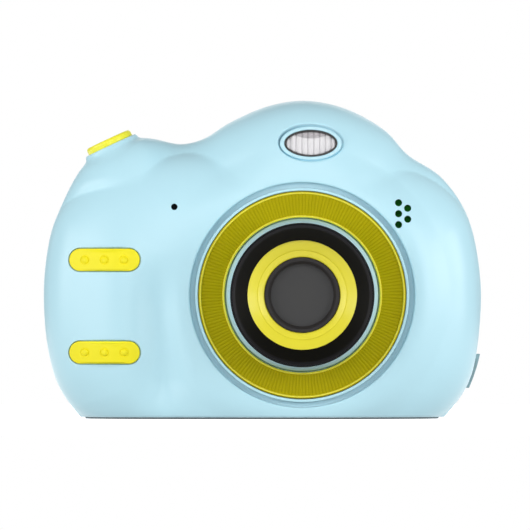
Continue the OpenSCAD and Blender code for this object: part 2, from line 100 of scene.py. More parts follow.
def smoothed_reach():
    """Distance from MIDDLE to the outline at each table angle, with the curve's joints smoothed."""
    points = np.array(OUTLINE, float)
    t = np.linspace(0, 1, 40, endpoint=False)[:, None]
    arcs = []
    for i in range(len(points)):
        a, b, c, d = (points[(i + k) % len(points)] for k in (-1, 0, 1, 2))
        arcs.append(0.5 * (2 * b + (c - a) * t + (2 * a - 5 * b + 4 * c - d) * t**2
                           + (3 * b - a - 3 * c + d) * t**3))
    curve = np.concatenate(arcs) - MIDDLE
    angle = np.arctan2(curve[:, 1], curve[:, 0])
    order = np.argsort(angle)
    table = np.interp(TABLE_ANGLES, angle[order], np.hypot(*curve[order].T), period=math.tau)
    soft = math.radians(1.3)
    waves = np.arange(TURNS // 2 + 1)
    return np.fft.irfft(np.fft.rfft(table) * np.exp(-((waves * soft) ** 2) / 2), TURNS)


REACH = smoothed_reach()


def reach(angle):
    return np.interp(angle, TABLE_ANGLES, REACH, period=math.tau)


def on_outline(angle, share=1.0):
    """Points of the outline at these angles about MIDDLE, drawn in to a share of its reach."""
    r = share * reach(angle)
    return MIDDLE + stack(r * np.cos(angle), r * np.sin(angle))


def angle_at(z, share, right):
    """Angle at which the drawn-in outline passes a low height on its right or left side."""
    angles = np.linspace(*((-1.2, 0.4) if right else (math.pi - 0.4, math.pi + 1.2)), 4000)
    heights = on_outline(angles, share)[:, 1]
    order = np.argsort(heights)
    return float(np.interp(z, heights[order], angles[order]))


def ease(a, b, x):
    t = np.clip((x - a) / (b - a), 0, 1)
    return t * t * (3 - 2 * t)


def bell(x, middle, width):
    return np.exp(-(((x - middle) / width) ** 2))


def soft_max(a, b, k):
    return np.maximum(a, b) + np.maximum(k - np.abs(a - b), 0) ** 2 / (4 * np.maximum(k, 0.001))


def soft_min(a, b, k):
    return -soft_max(-a, -b, k)


def edge(rho, power):
    return np.maximum(1 - rho**power, 0) ** 0.4545


def rho_of(xz):
    """How far out a point lies: 0 at MIDDLE, 1 on the outline."""
    d = xz - MIDDLE
    return np.hypot(d[..., 0], d[..., 1]) / reach(np.arctan2(d[..., 1], d[..., 0]))


def lump(xz, rho):
    x, z = xz[..., 0], xz[..., 1]
    main_rho = ((np.abs(x) / 48) ** 3 + (np.abs(z - 26) / 33.5) ** 3) ** (1 / 3)
    mound = ease(-20, -27, x) * ease(44, 53, z)
    dome = np.exp(-(((x - 9.5) / 21) ** 4)) * ease(40, 54, z)
    low = (9.5 + 2.3 * mound + 5.7 * dome) * edge(rho, 4.5 + 4 * mound + 3.5 * dome)
    high = FRONT_DEPTH * edge(np.maximum(main_rho, rho), 4.5)
    return soft_max(low, high, 1.1 * np.maximum(1 - rho**8, 0))


def front_depth(xz):
    """Depth of the front shell's face before the parting plane."""
    x, z, rho = xz[..., 0], xz[..., 1], np.minimum(rho_of(xz), 1)
    grip = bell(x, -32, 6.5) * ease(46, 30, z) * (1 - rho**6)
    dip = GRIP_DIP * bell(x, -21.5, 4.6) * ease(0, 9, z) * ease(37, 24, z)
    near_lens = ease(24.6, 33, np.hypot(x - LENS[0], z - LENS[1]))
    return LENS_FACE * (1 - near_lens) + (lump(xz, rho) + grip - dip) * near_lens


def rear_depth(xz):
    """Depth of the rear shell's face behind the parting plane."""
    return soft_min(lump(xz, np.minimum(rho_of(xz), 1)) * 1.2, REAR_DEPTH, 1.4)


# Rolled-out distance from MIDDLE: two powers, and straight on near the middle
ROLL_POWER, ROLL_ROOT, ROLL_STRAIGHT, ROLL_SLOPE = 4.5, 2.2, 0.05, 0.8393


def spread(xz):
    """Rolls the form out flat, so that its steep sides get as much room as its face."""
    rho = np.clip(rho_of(xz), 1e-9, 1)
    t = np.where(rho < ROLL_STRAIGHT, ROLL_SLOPE * rho,
                 (1 - np.maximum(1 - rho**ROLL_POWER, 0) ** 0.4545) ** (1 / ROLL_POWER))
    return MIDDLE + (xz - MIDDLE) * (t / rho)[..., None]


def gather(flat):
    """The place in X and Z of a point of the rolled-out form."""
    t = np.clip(rho_of(flat), 1e-9, 1)
    rho = np.where(t < ROLL_STRAIGHT, t / ROLL_SLOPE,
                   (1 - np.maximum(1 - t**ROLL_POWER, 0) ** ROLL_ROOT) ** (1 / ROLL_POWER))
    return MIDDLE + (flat - MIDDLE) * (rho / t)[..., None]


def skin_normals(xz, depth, sign):
    """Outward normals of the form's face. Depth to the power 2.2 stays smooth up to the outline."""
    drawn_in = MIDDLE + (xz - MIDDLE) * np.minimum(1, 0.997 / np.maximum(rho_of(xz), 1e-9))[:, None]
    step = 0.03
    slope = [
        (depth(drawn_in + d) ** 2.2 - depth(drawn_in - d) ** 2.2) / (2 * step)
        for d in (np.array([step, 0]), np.array([0, step]))
    ]
    out = stack(-slope[0], sign * 2.2 * np.maximum(depth(xz), 0) ** 1.2, -slope[1])
    return out / np.linalg.norm(out, axis=1)[:, None]


# ---- Mesh building ----


class Patchwork:
    """Patches of faces in millimetres, sewn where their points coincide."""

    def __init__(self):
        self.points, self.normals, self.faces, self.styles = [], [], [], []
        self.count = 0

    def add(self, points, faces, normals=None, part=0):
        """A patch that shades itself, or takes normals where they aren't zero; part is the
        material's index."""
        points = np.asarray(points, float).reshape(-1, 3)
        self.points.append(points)
        self.normals.append(np.zeros_like(points) if normals is None else normals.reshape(-1, 3))
        self.faces += [tuple(i + self.count for i in f) for f in faces]
        self.styles += [(normals is not None, part)] * len(faces)
        self.count += len(points)

    def grid(self, rows, closed=False, normals=None, part=0):
        """Quads between rows of points. closed joins the ends of each row."""
        rows = np.asarray(rows, float)
        m, n = rows.shape[:2]
        last = n if closed else n - 1
        faces = [
            (j * n + i, j * n + (i + 1) % n, (j + 1) * n + (i + 1) % n, (j + 1) * n + i)
            for j in range(m - 1)
            for i in range(last)
        ]
        self.add(rows, faces, normals, part)

    def fan(self, loop, centre):
        """Closes a loop with triangles to a centre."""
        n = len(loop)
        self.add(np.vstack([loop, centre]), [(i, (i + 1) % n, n) for i in range(n)])

    def build(self, name, materials, sharp):
        """Makes the Blender object."""
        points = np.vstack(self.points)
        normals = np.vstack(self.normals)
        _, first, index = np.unique(np.round(points * 20000), axis=0, return_index=True,
                                    return_inverse=True)
        index = index.ravel()
        shared = np.zeros((len(first), 3))
        given = np.abs(normals).sum(1) > 0
        shared[index[given]] = normals[given]
        faces, styles = [], []
        for face, style in zip(self.faces, self.styles):
            ring = [index[i] for i in face]
            ring = [v for k, v in enumerate(ring) if v != ring[k - 1]]
            if len(set(ring)) >= 3 and len(ring) == len(set(ring)):
                faces.append([int(v) for v in ring])
                styles.append(style)
        mesh = bpy.data.meshes.new(name)
        mesh.from_pydata((points[first] * MM).tolist(), [], faces)
        work = bmesh.new()
        work.from_mesh(mesh)
        bmesh.ops.recalc_face_normals(work, faces=work.faces)
        work.to_mesh(mesh)
        work.free()
        mesh.polygons.foreach_set("use_smooth", [True] * len(faces))
        mesh.polygons.foreach_set("material_index", [s[1] for s in styles])
        mesh.set_sharp_from_angle(angle=math.radians(sharp))
        if given.any():
            corner_vertex = np.zeros(len(mesh.loops), int)
            mesh.loops.foreach_get("vertex_index", corner_vertex)
            worn = np.repeat([s[0] for s in styles], [len(f) for f in faces])
            corners = np.where(worn[:, None], shared[corner_vertex], 0.0)
            mesh.normals_split_custom_set(corners.tolist())
        for m in materials:
            mesh.materials.append(m)
        made = bpy.data.objects.new(name, mesh)
        bpy.context.scene.collection.objects.link(made)
        return made


def inside(points, loop):
    """Which points lie inside a closed polygon."""
    x, y = points.T
    found = np.zeros(len(points), bool)
    for (ax, ay), (bx, by) in zip(loop, np.roll(loop, -1, axis=0)):
        if ay != by:
            crosses = ((ay > y) != (by > y)) & (x < (bx - ax) * (y - ay) / (by - ay) + ax)
            found ^= crosses
    return found


def clear_of(points, loops):
    """The points that lie in none of the loops."""
    for loop in loops:
        points = points[~inside(points, loop)]
    return points


def lattice(outer, holes, step, extra=()):
    """Points of a triangular lattice inside a polygon and outside its holes, clear of their edges."""
    low, high = outer.min(0), outer.max(0)
    across = np.arange(low[0], high[0], step)
    rows = np.arange(low[1], high[1], step * 0.866)
    points = np.concatenate([stack(across + (k % 2) * step / 2, row) for k, row in enumerate(rows)])
    points = clear_of(points[inside(points, outer)], holes)
    fixed = np.concatenate([outer, *holes, *[e for e in extra if len(e)]])
    tree = kdtree.KDTree(len(fixed))
    for i, p in enumerate(fixed):
        tree.insert((p[0], p[1], 0), i)
    tree.balance()
    clear = [tree.find((p[0], p[1], 0))[2] > 0.55 * step for p in points]
    return points[np.array(clear, bool)]


def fill(outer, holes=(), loose=()):
    """Triangles that fill a polygon round its holes, and all the points in order."""
    loops = [outer, *holes]
    points = np.concatenate([*loops, *[p for p in loose if len(p)]])
    edges, start = [], 0
    for loop in loops:
        n = len(loop)
        edges += [(start + i, start + (i + 1) % n) for i in range(n)]
        start += n
    found = delaunay_2d_cdt([Vector(p) for p in points], edges, [], 1, 1e-7)
    back = [o[0] if o else -1 for o in found[3]]
    faces = np.array([[back[i] for i in f] for f in found[2]])
    centres = points[faces].mean(1)
    keep = inside(centres, outer) & (faces.min(1) >= 0)
    for hole in holes:
        keep &= ~inside(centres, hole)
    return faces[keep].tolist(), points


def filled(outer, step, holes=()):
    """Triangles that fill a polygon round its holes, over a lattice of points."""
    return fill(outer, holes, [lattice(outer, holes, step)])


def rounded(start, corner, end, steps=4):
    """Rows that lead round an edge from start to end, pulled towards corner."""
    return [(1 - t) ** 2 * start + 2 * t * (1 - t) * corner + t**2 * end
            for t in np.linspace(0, 1, steps + 1)]


def circle(centre, r, n=48):
    """A loop that grows by an offset: a circle."""
    a = full_turn(n)
    return lambda d: np.asarray(centre) + (r + d) * stack(np.cos(a), np.sin(a))


def pill(centre, half_length, half_height, n=96):
    """A loop that grows by an offset: a bar with round ends."""
    a = (np.arange(n) + 0.5) / n * math.tau
    side = np.sign(np.cos(a)) * (half_length - half_height)

    def loop(d):
        r = half_height + d
        return np.asarray(centre) + stack(side + r * np.cos(a), r * np.sin(a))
    return loop


def rectangle(centre, width, height, corner, along=24, turn=7):
    """A loop that grows by an offset: a rectangle with round corners and points along its sides."""
    def loop(d):
        w, h, r = width / 2 + d, height / 2 + d, max(corner + d, 0.05)
        arcs = []
        for q, (sx, sz) in enumerate([(1, 1), (-1, 1), (-1, -1), (1, -1)]):
            a = np.linspace(q * math.pi / 2, (q + 1) * math.pi / 2, turn)
            arcs.append(stack(sx * (w - r) + r * np.cos(a), sz * (h - r) + r * np.sin(a)))
        ring = []
        for arc, following in zip(arcs, arcs[1:] + arcs[:1]):
            t = np.linspace(0, 1, along, endpoint=False)[1:, None]
            ring += [arc, arc[-1] * (1 - t) + following[0] * t]
        return np.asarray(centre) + np.concatenate(ring)
    return loop


def oval(a, b, n=120):
    """A loop that grows by an offset: an ellipse."""
    t = full_turn(n)
    return lambda d: stack((a + d) * np.cos(t), (b + d) * np.sin(t))


# ---- The two halves of the case ----

SEAT = np.array([-33.3, 0.0, 60.1])
SEAT_TILT = math.radians(25)
SEAT_RIGHT = np.array([math.cos(SEAT_TILT), 0, math.sin(SEAT_TILT)])
SEAT_UP = np.array([-math.sin(SEAT_TILT), 0, math.cos(SEAT_TILT)])
SEAT_FOOT, SEAT_BORE, SEAT_POCKET, SEAT_UNDER = 8.6, 5.35, 6.3, -5.0
COLLAR = [(6.34, -0.85), (6.14, -0.36), (6.08, -0.2), (5.97, -0.08), (5.8, -0.02), (5.62, 0),
          (5.5, -0.03), (5.4, -0.1), (SEAT_BORE, -0.22), (SEAT_BORE, -2.2), (SEAT_POCKET, -2.2),
          (SEAT_POCKET, SEAT_UNDER)]
CASE_SCREWS = [(38.5, 10), (-39, 10), (-11, 52), (21.5, 58)]
BOARD_SCREWS = [(39, 44), (-39, 36), (-12, 6.8), (31, 8)]
FLASH = np.array([10.7, -14.0, 60.4])
FLASH_TILT = math.radians(9)
FLASH_UP = np.array([0, math.sin(FLASH_TILT), math.cos(FLASH_TILT)])
FLASH_OUT = np.array([0, -math.cos(FLASH_TILT), math.sin(FLASH_TILT)])
SPEAKER_HOLES = [(29.9, 47.4), (29.9, 45), (29.9, 42.6), (31.9, 46.2), (31.9, 43.8)]
MICROPHONE = middle_of("microphone")[[0, 2]]
PADS = [middle_of(n)[[0, 2]] for n in ("grip_pad_upper", "grip_pad_lower")]
PAD_HALF_LENGTH, PAD_HALF_HEIGHT = 7.85, 2.55
KEYS = ["power", "up", "down", "left", "right", "ok"]
KEY_R = span_of("ok_button")[0] / 2 - 0.8
SEAT_TURNS = np.radians(np.concatenate([[0, 1.4], np.linspace(3, 177, 59), [178.6, 180]]))
SCOOP_X, SCOOP_Y, SCOOP_LOW, SCOOP_HIGH = 47.0, 5.2, 8.1, 12.8
SCOOP_ROWS = SCOOP_LOW + np.concatenate([np.linspace(-0.3, 0.3, 9), np.linspace(0.6, 4.2, 9),
                                         np.linspace(4.4, 5.0, 9)])
DOOR_Y, DOOR_Z = (2.0, 10.2), (16.0, 41.0)
DOOR_MIDDLE = (sum(DOOR_Y) / 2, sum(DOOR_Z) / 2)
DOOR_SIZE = (DOOR_Y[1] - DOOR_Y[0], DOOR_Z[1] - DOOR_Z[0])
DOOR_CORNER, DOOR_THICK, DOOR_PLAY = 1.0, 1.6, 0.12
PART_GAP = 0.06
MOAT_R, SPEAKER_HOLE_R, MICROPHONE_HOLE_R, PILOT_R = 24.6, 0.78, 0.7, 1.0
GLASS_SEAT, SCREW_SEAT = 14.0, 3.6


def seat_point(radius, height, turn, sign):
    """A point round the shutter's axis. turn goes from 0, at its right, over the front or rear."""
    turn = np.asarray(turn)[:, None]
    side = np.array([0, sign, 0])
    return SEAT + radius * (np.cos(turn) * SEAT_RIGHT + np.sin(turn) * side) + height * SEAT_UP


def flash_point(uv, height):
    """A point over the flash window's plane, with u to the right and v up."""
    uv = np.asarray(uv)
    height = np.broadcast_to(height, len(uv))[:, None]
    return FLASH + uv[:, :1] * np.array([1, 0, 0]) + uv[:, 1:] * FLASH_UP + height * FLASH_OUT


def farthest(count, low, high, steps, within):
    """The largest values between low and high that are still within, found by halving."""
    low, high = np.full(count, low), np.full(count, high)
    for _ in range(steps):
        middle = (low + high) / 2
        fits = within(middle)
        low, high = np.where(fits, middle, low), np.where(fits, high, middle)
    return low


def on_side(yz, inward=0.0):
    """Points on the rear half's right side at these places in Y and Z, or inward of it."""

    def within(x):
        xz = stack(x, yz[:, 1])
        return (rho_of(xz) < 1) & (rear_depth(xz) > np.abs(yz[:, 0]))

    return stack(farthest(len(yz), 25.0, 49.0, 34, within) - inward, *yz.T)


def over_seat(xz):
    """Height of points over the underside of the shutter's seat."""
    return (xz - SEAT[[0, 2]]) @ SEAT_UP[[0, 2]] - SEAT_UNDER


class Half:
    """One half of the case: a shell with its wall, its bosses and everything cut into it."""

    def __init__(self, sign, depth):
        self.sign, self.depth = sign, depth
        self.work = Patchwork()
        self.outer_holes, self.inner_holes, self.fine_spots = [], [], []

    # -- places --

    def lift(self, xz, below=0.0):
        """Points on the outer face, or below it."""
        return self.at(xz, self.depth(xz) - below)

    def lift_inner(self, xz):
        """Points on the inner face, which passes under the lens moat."""
        depth = self.depth(xz) - WALL
        if self.sign < 0:
            under = ease(27.5, 25.3, np.linalg.norm(xz - LENS, axis=1))
            depth = depth * (1 - under) + 10.6 * under
        return self.at(xz, depth)

    def at(self, xz, y):
        """Points at a depth behind or before the parting plane."""
        return stack(xz[:, 0], self.sign * y, xz[:, 1])

    def settle(self, points, inner=False):
        """Presses the strap's scoop into the rear half and leaves a fine gap where the halves meet."""
        points = np.array(points, float)
        flat = points.reshape(-1, 3)
        x, y, z = flat.T
        if self.sign > 0:
            radius, soft, grow = (7.2, 0.5, 2.2) if inner else (5.0, 0.16, 0.0)
            away = np.abs(y - SCOOP_Y)
            floor = (SCOOP_X - np.sqrt(np.maximum(radius**2 - away**2, 0))
                     + 2 * np.maximum(away - radius, 0))
            window = (ease(SCOOP_LOW - grow - soft, SCOOP_LOW - grow + soft, z)
                      * ease(SCOOP_HIGH + grow + soft, SCOOP_HIGH + grow - soft, z) * (x > 38))
            x = x + window * (soft_min(x, floor, 0.5) - x)
        if not inner:
            pull = 0.16 * np.clip(1 - np.abs(y) / 0.2, 0, 1)
            away = np.hypot(x - MIDDLE[0], z - MIDDLE[1])
            rim = rho_of(stack(x, z)) > 0.93
            share = np.where(rim, 1 - pull / np.maximum(away, 1), 1)
            x, z = MIDDLE[0] + (x - MIDDLE[0]) * share, MIDDLE[1] + (z - MIDDLE[1]) * share
        y = self.sign * np.maximum(np.abs(y), PART_GAP)
        return stack(x, y, z).reshape(points.shape)

    # -- features --

    def mouth(self, rows, inner=None):
        """The wall of a hole, from its rim on the outer face inwards. inner is its end on the
        inner face, if it has one."""
        rim = rows[0][:, [0, 2]]
        normals = np.zeros((len(rows), len(rim), 3))
        normals[0] = skin_normals(rim, self.depth, self.sign)
        self.work.grid(rows, True, normals)
        self.outer_holes.append(rim)
        if inner is not None:
            self.inner_holes.append(inner)

    def finer_round(self, loop, *offsets):
        """Asks for small faces round a hole."""
        self.fine_spots += [loop(d) for d in offsets]

    def lip(self, loop, size):
        """Rows of a rounded edge, from the outer face into a hole."""
        corner = self.lift(loop(0))
        return rounded(self.lift(loop(size)), corner, corner - np.array([0, self.sign * size, 0]))

    def cut(self, loop, lip, rows=()):
        """A hole through the wall with a rounded lip. rows are (offset, depth) below the lip."""
        last = loop(rows[-1][0] if rows else 0)
        path = self.lip(loop, lip) + [self.at(loop(d), y) for d, y in rows]
        self.mouth(path + [self.lift_inner(last)], last)
        self.finer_round(loop, lip + 0.2, lip + 0.5)

    def pocket(self, loop, spot, lip, deep):
        """A shallow recess whose floor follows the outer face."""
        corner = self.lift(loop(0))
        path = rounded(self.lift(loop(lip)), corner, self.lift(loop(0), lip))
        path += [self.lift(spot + (loop(0) - spot) * s, deep) for s in (1, 0.75, 0.5, 0.25)]
        self.mouth(path)
        self.work.fan(path[-1], self.lift(np.array([spot]), deep)[0])
        self.finer_round(loop, lip + 0.2, lip + 0.5)

    def boss(self, spot, r, bore, end, bottom):
        """A round boss on the inner face with a blind bore in its end."""
        outer, hole = circle(spot, r, 32), circle(spot, bore, 32)
        path = [self.lift_inner(outer(0)), self.at(outer(0), end), self.at(hole(0), end),
                self.at(hole(0), bottom)]
        self.work.grid(path, True)
        self.work.fan(path[-1], path[-1].mean(0))
        self.inner_holes.append(outer(0))

    # -- the shell --

    def seat_foot(self, turns):
        """Where the shutter's collar meets the form, on a circle round its axis."""
        ring = seat_point(SEAT_FOOT, 0, turns, self.sign)

        def within(height):
            p = ring + height[:, None] * SEAT_UP
            xz = p[:, [0, 2]]
            return (rho_of(xz) < 1) & (np.abs(p[:, 1]) < self.depth(xz))

        foot = ring + farthest(len(turns), -14.0, 1.0, 40, within)[:, None] * SEAT_UP
        foot[[0, -1], 1] = 0
        return foot

    def collar(self):
        """The collar round the shutter's bore, which flows out of the form."""
        turns = SEAT_TURNS
        foot = self.seat_foot(turns)
        normal = skin_normals(foot[:, [0, 2]], self.depth, self.sign)
        inward = seat_point(-1, 0, turns, self.sign) - SEAT
        along = inward - (inward * normal).sum(1)[:, None] * normal
        along /= np.linalg.norm(along, axis=1)[:, None]
        top = seat_point(*COLLAR[0], turns, self.sign)
        pull = np.linalg.norm(top - foot, axis=1)[:, None] * 0.6
        rise = inward * 0.35 + SEAT_UP * 0.94
        path = []
        for t in np.linspace(0, 1, 12):
            path.append((2 * t**3 - 3 * t**2 + 1) * foot + (t**3 - 2 * t**2 + t) * pull * along
                        + (3 * t**2 - 2 * t**3) * top + (t**3 - t**2) * pull * rise)
        path += [seat_point(r, h, turns, self.sign) for r, h in COLLAR[1:]]
        for row in path:
            row[[0, -1], 1] = 0
        normals = np.zeros((len(path), len(foot), 3))
        normals[0, 2:-2] = normal[2:-2]
        self.work.grid(self.settle(path), False, normals)
        return foot, np.array(path)

    def base_edge(self, rim_right, rim_left):
        """The rounded edge of the base from its left corner to its right one, and the base."""
        x_left, x_right = rim_left[-1, 0], rim_right[0, 0]
        x = (x_left + x_right) / 2 - (x_right - x_left) / 2 * np.cos(np.linspace(0, math.pi, 150))
        low_edge = stack(x, BASE_Z + BASE_LIP)
        low_edge[0], low_edge[-1] = rim_left[-1], rim_right[0]
        shrink = [on_outline(np.array([angle_at(BASE_Z, 1, r)]))[0, 0] for r in (False, True)]
        corner_xz = stack(np.where(x < 0, x * shrink[0] / x_left, x * shrink[1] / x_right), BASE_Z)
        start, corner = self.lift(low_edge), self.lift(corner_xz)
        start[[0, -1], 1] = corner[[0, -1], 1] = 0
        under = corner.copy()
        under[:, 1] = self.sign * np.maximum(np.abs(corner[:, 1]) - BASE_LIP, 0)
        rows = rounded(start, corner, under)
        normals = np.zeros((len(rows), len(x), 3))
        normals[0, 1:-1] = skin_normals(low_edge[1:-1], self.depth, self.sign)
        self.work.grid(self.settle(rows), False, normals)
        self.work.grid(self.settle([under * np.array([1, s, 1]) for s in (1, 0.8, 0.6, 0.4, 0.2, 0)]))
        return low_edge, np.array(rows)

    def shell(self):
        """Everything but the features: faces, rims, collar, base and parting face."""
        foot, collar = self.collar()
        turn_right, turn_left = (math.atan2(*(foot[k, [2, 0]] - MIDDLE[::-1])) for k in (0, -1))
        low_right, low_left = (angle_at(BASE_Z + BASE_LIP, 1, r) for r in (True, False))
        extra = [angle_at(z, 1, True) for z in SCOOP_ROWS]
        right = np.sort(np.concatenate([np.linspace(low_right, turn_right, 190), extra]))
        left = np.linspace(turn_left, low_left, 110)
        rim_right, rim_left = on_outline(right), on_outline(left)
        rim_right[-1], rim_left[0] = foot[0, [0, 2]], foot[-1, [0, 2]]
        low_edge, base = self.base_edge(rim_right, rim_left)
        self.outer_face(rim_right, foot, rim_left, low_edge)
        inner_right, inner_left, seat_line, low_inner = self.inner_face()

        # parting face: one band round the case, open at the shutter's bore
        xz = (0, 2)
        outer_chain = [collar[::-1, 0][:, xz], rim_right[::-1][1:], base[1:, -1, xz],
                       base[-1, ::-1][1:, xz], base[::-1, 0][1:, xz], rim_left[::-1][1:],
                       collar[:, -1][1:, xz]]
        inner_chain = [seat_line["left"], inner_left[1:], low_inner[1:], inner_right[1:],
                       seat_line["right"][1:]]
        outer_loop = self.settle(self.at(np.concatenate(outer_chain), 0))
        inner_loop = self.settle(self.at(np.concatenate(inner_chain)[1:-1], 0), inner=True)
        band = np.concatenate([outer_loop, inner_loop])
        faces, _ = fill(band[:, xz])
        self.work.add(band, faces)

    def outer_face(self, rim_right, foot, rim_left, low_edge):
        boundary = np.concatenate([rim_right[:-1], foot[:, [0, 2]], rim_left[1:], low_edge[1:-1]])
        rings = []
        for t in (0.9972, 0.991, 0.98, 0.965, 0.948):
            ring = spread(np.concatenate([rim_right[2:-2], rim_left[2:-2]]))
            rings.append(MIDDLE + (ring - MIDDLE) * t)
        rings = np.concatenate(rings)
        collar_zone = np.linalg.norm(self.seat_offset(gather(rings)), axis=1) < SEAT_FOOT + 0.35
        rings = rings[~collar_zone & (gather(rings)[:, 1] > low_edge[0, 1] + 0.3)]
        spots = [spread(s) for s in self.fine_spots] + [self.scoop_spots()]
        near_base = [spread(low_edge[2:-2] + np.array([0, d])) for d in (0.35, 0.8)]
        loops = [spread(h) for h in self.outer_holes]
        outer = spread(boundary)
        loose = [rings, *spots, *near_base]
        loose = [clear_of(p[inside(p, outer)], loops) for p in loose]
        body = lattice(outer, loops, 0.62, loose)
        faces, flat = fill(outer, loops, [*loose, body])
        xz = gather(flat)
        known = np.concatenate([boundary, *self.outer_holes])
        xz[:len(known)] = known
        points = self.lift(xz)
        points[:len(boundary)][len(rim_right) - 1:len(rim_right) - 1 + len(foot)] = foot
        ends = np.r_[0:len(rim_right), len(rim_right) + len(foot) - 2:len(boundary) - len(low_edge) + 2]
        points[ends, 1] = 0
        normals = skin_normals(xz, self.depth, self.sign)
        pressed = self.settle(points)
        moved = np.abs(pressed - points).max(1) > 0.004
        normals[moved] = 0
        self.work.add(pressed, faces, normals)

    def seat_offset(self, xz):
        """Distance from the shutter's axis, as a vector, of points on the outer face."""
        p = self.lift(xz) - SEAT
        return p - (p @ SEAT_UP)[:, None] * SEAT_UP

    def scoop_spots(self):
        """Extra points round the strap's scoop, where the side folds in."""
        if self.sign < 0:
            return np.empty((0, 2))
        rows = [SCOOP_LOW - 0.5, *SCOOP_ROWS, SCOOP_LOW + 5.2]
        yz = np.array([(y, z) for y in np.linspace(0.3, 10.6, 34) for z in rows])
        return spread(on_side(yz)[:, [0, 2]])

    def inner_face(self):
        """The cavity: its face, its side wall, its floor and the underside of the shutter seat."""
        share = 0.95
        angles = np.linspace(0, math.tau, 3000)
        ring = on_outline(angles, share)
        above = np.flatnonzero(over_seat(ring) > 0)
        seat_right, seat_left = angles[above[0]], angles[above[-1]]
        low_right, low_left = (angle_at(FLOOR_Z, share, r) for r in (True, False))
        right = on_outline(np.linspace(low_right, seat_right, 90), share)
        left = on_outline(np.linspace(seat_left, low_left, 50), share)
        for end in (right, left[::-1]):
            end[-1] -= over_seat(end[-1]) * SEAT_UP[[0, 2]]
        right[0, 1] = left[-1, 1] = FLOOR_Z
        line = right[-1] + (left[0] - right[-1]) * np.linspace(0, 1, 24)[:, None]
        floor = left[-1] + (right[0] - left[-1]) * np.linspace(0, 1, 60)[:, None]
        boundary = np.concatenate([right[:-1], line[:-1], left[:-1], floor[:-1]])
        faces, xz = filled(boundary, 1.5, self.inner_holes)
        self.work.add(self.settle(self.lift_inner(xz), True), faces)

        rows = [self.lift_inner(boundary) * np.array([1, s, 1]) for s in (1, 0.75, 0.5, 0.25, 0)]
        n_side = len(right) - 1
        n_line = n_side + len(line) - 1
        n_left = n_line + len(left) - 1
        for part in (slice(0, n_side + 1), slice(n_line, n_left + 1)):
            self.work.grid(self.settle([row[part] for row in rows], True))
        ring = np.arange(n_left, len(boundary) + 1) % len(boundary)
        self.work.grid(self.settle([row[ring] for row in rows], True))

        # underside of the seat, with the bore's half circle
        bore = seat_point(SEAT_POCKET, SEAT_UNDER, SEAT_TURNS, self.sign)
        bore[[0, -1], 1] = 0
        ends = {"right": np.array([right[-1], bore[0, [0, 2]]]),
                "left": np.array([bore[-1, [0, 2]], left[0]])}
        down, rise = np.array([[1, 0.75, 1], [1, 0.5, 1], [1, 0.25, 1], [1, 0, 1]]), [3, 2, 1, 0]
        left_side = self.settle(self.lift_inner(left[:1]) * down, True)
        right_side = self.settle(self.lift_inner(right[-1:]) * down[rise], True)
        loop = np.concatenate([self.settle(self.lift_inner(line), True), left_side,
                               self.settle(bore[::-1]), right_side])
        flat = stack((loop - SEAT) @ SEAT_RIGHT, loop[:, 1])
        faces, _ = fill(flat)
        self.work.add(loop, faces)
        return right, left, ends, floor


def flash_cut(half):
    """The moat round the flash, the raised rim in it and the window's hole, in the tilted plane."""
    rim, hole = oval(6.75, 3.75), oval(5.85, 3.0)

    def ring(d):
        return oval(7.2, 4.35)(d) + np.array([0, 0.22])

    def on_face(uv, below=0.0):
        height = np.zeros(len(uv))
        for _ in range(30):
            p = flash_point(uv, height)
            height += 0.8 * (-p[:, 1] - (half.depth(p[:, [0, 2]]) - below)) / FLASH_OUT[1]
        return flash_point(uv, height)

    def on_floor(uv):
        return flash_point(uv, -1.15 - 0.22 * uv[:, 1])

    start, corner = on_face(ring(0.35)), on_face(ring(0))
    foot = on_floor(0.25 * ring(0) + 0.75 * rim(0.06))
    path = rounded(start, corner, corner + 0.4 * (foot - corner), 6)
    path += rounded(corner + 0.75 * (foot - corner), foot, on_floor(rim(0.06)))
    path += rounded(on_floor(rim(0.04)), on_floor(rim(0)), on_floor(rim(0)) + 0.06 * FLASH_OUT)
    path += rounded(flash_point(rim(0), 0), flash_point(rim(0), 0.3), flash_point(rim(-0.35), 0.3))
    path += rounded(flash_point(hole(0.15), 0.3), flash_point(hole(0), 0.3), flash_point(hole(0), 0.15))
    back = oval(7.6, 4.8)
    path += [flash_point(hole(0), -5.5), flash_point(back(0), -5.5), on_face(back(0), WALL)]
    half.mouth(path, path[-1][:, [0, 2]])
    half.finer_round(lambda d: on_face(ring(d))[:, [0, 2]], 0.6, 0.95, 1.3)


MOUTH_BACK = 38.6


def door_cut(half):
    """The recess of the side door and the mouths of the two sockets in its floor."""
    loop = rectangle(DOOR_MIDDLE, DOOR_SIZE[0] + 2 * DOOR_PLAY, DOOR_SIZE[1] + 2 * DOOR_PLAY,
                     DOOR_CORNER + DOOR_PLAY, along=20)
    lip, deep = 0.16, 1.85
    path = rounded(on_side(loop(lip)), on_side(loop(0)), on_side(loop(0), lip))
    half.mouth(path + [on_side(loop(0), deep)])
    mouths = []
    for node, grow in (("usb_socket", 0.3), ("memory_card", 0.7)):
        _, height, width = span_of(node)
        mouths.append(rectangle(middle_of(node)[1:], height + grow, width + grow, 0.4, along=10))
    faces, yz = filled(loop(0), 0.8, [mouth(0) for mouth in mouths])
    half.work.add(on_side(yz, deep), faces)
    for mouth in mouths:
        front = on_side(mouth(0), deep)
        back = front.copy()
        back[:, 0] = MOUTH_BACK
        half.work.grid([front, back], True)
        half.work.fan(back, back.mean(0))
    half.finer_round(lambda d: on_side(loop(d))[:, [0, 2]], lip + 0.3)


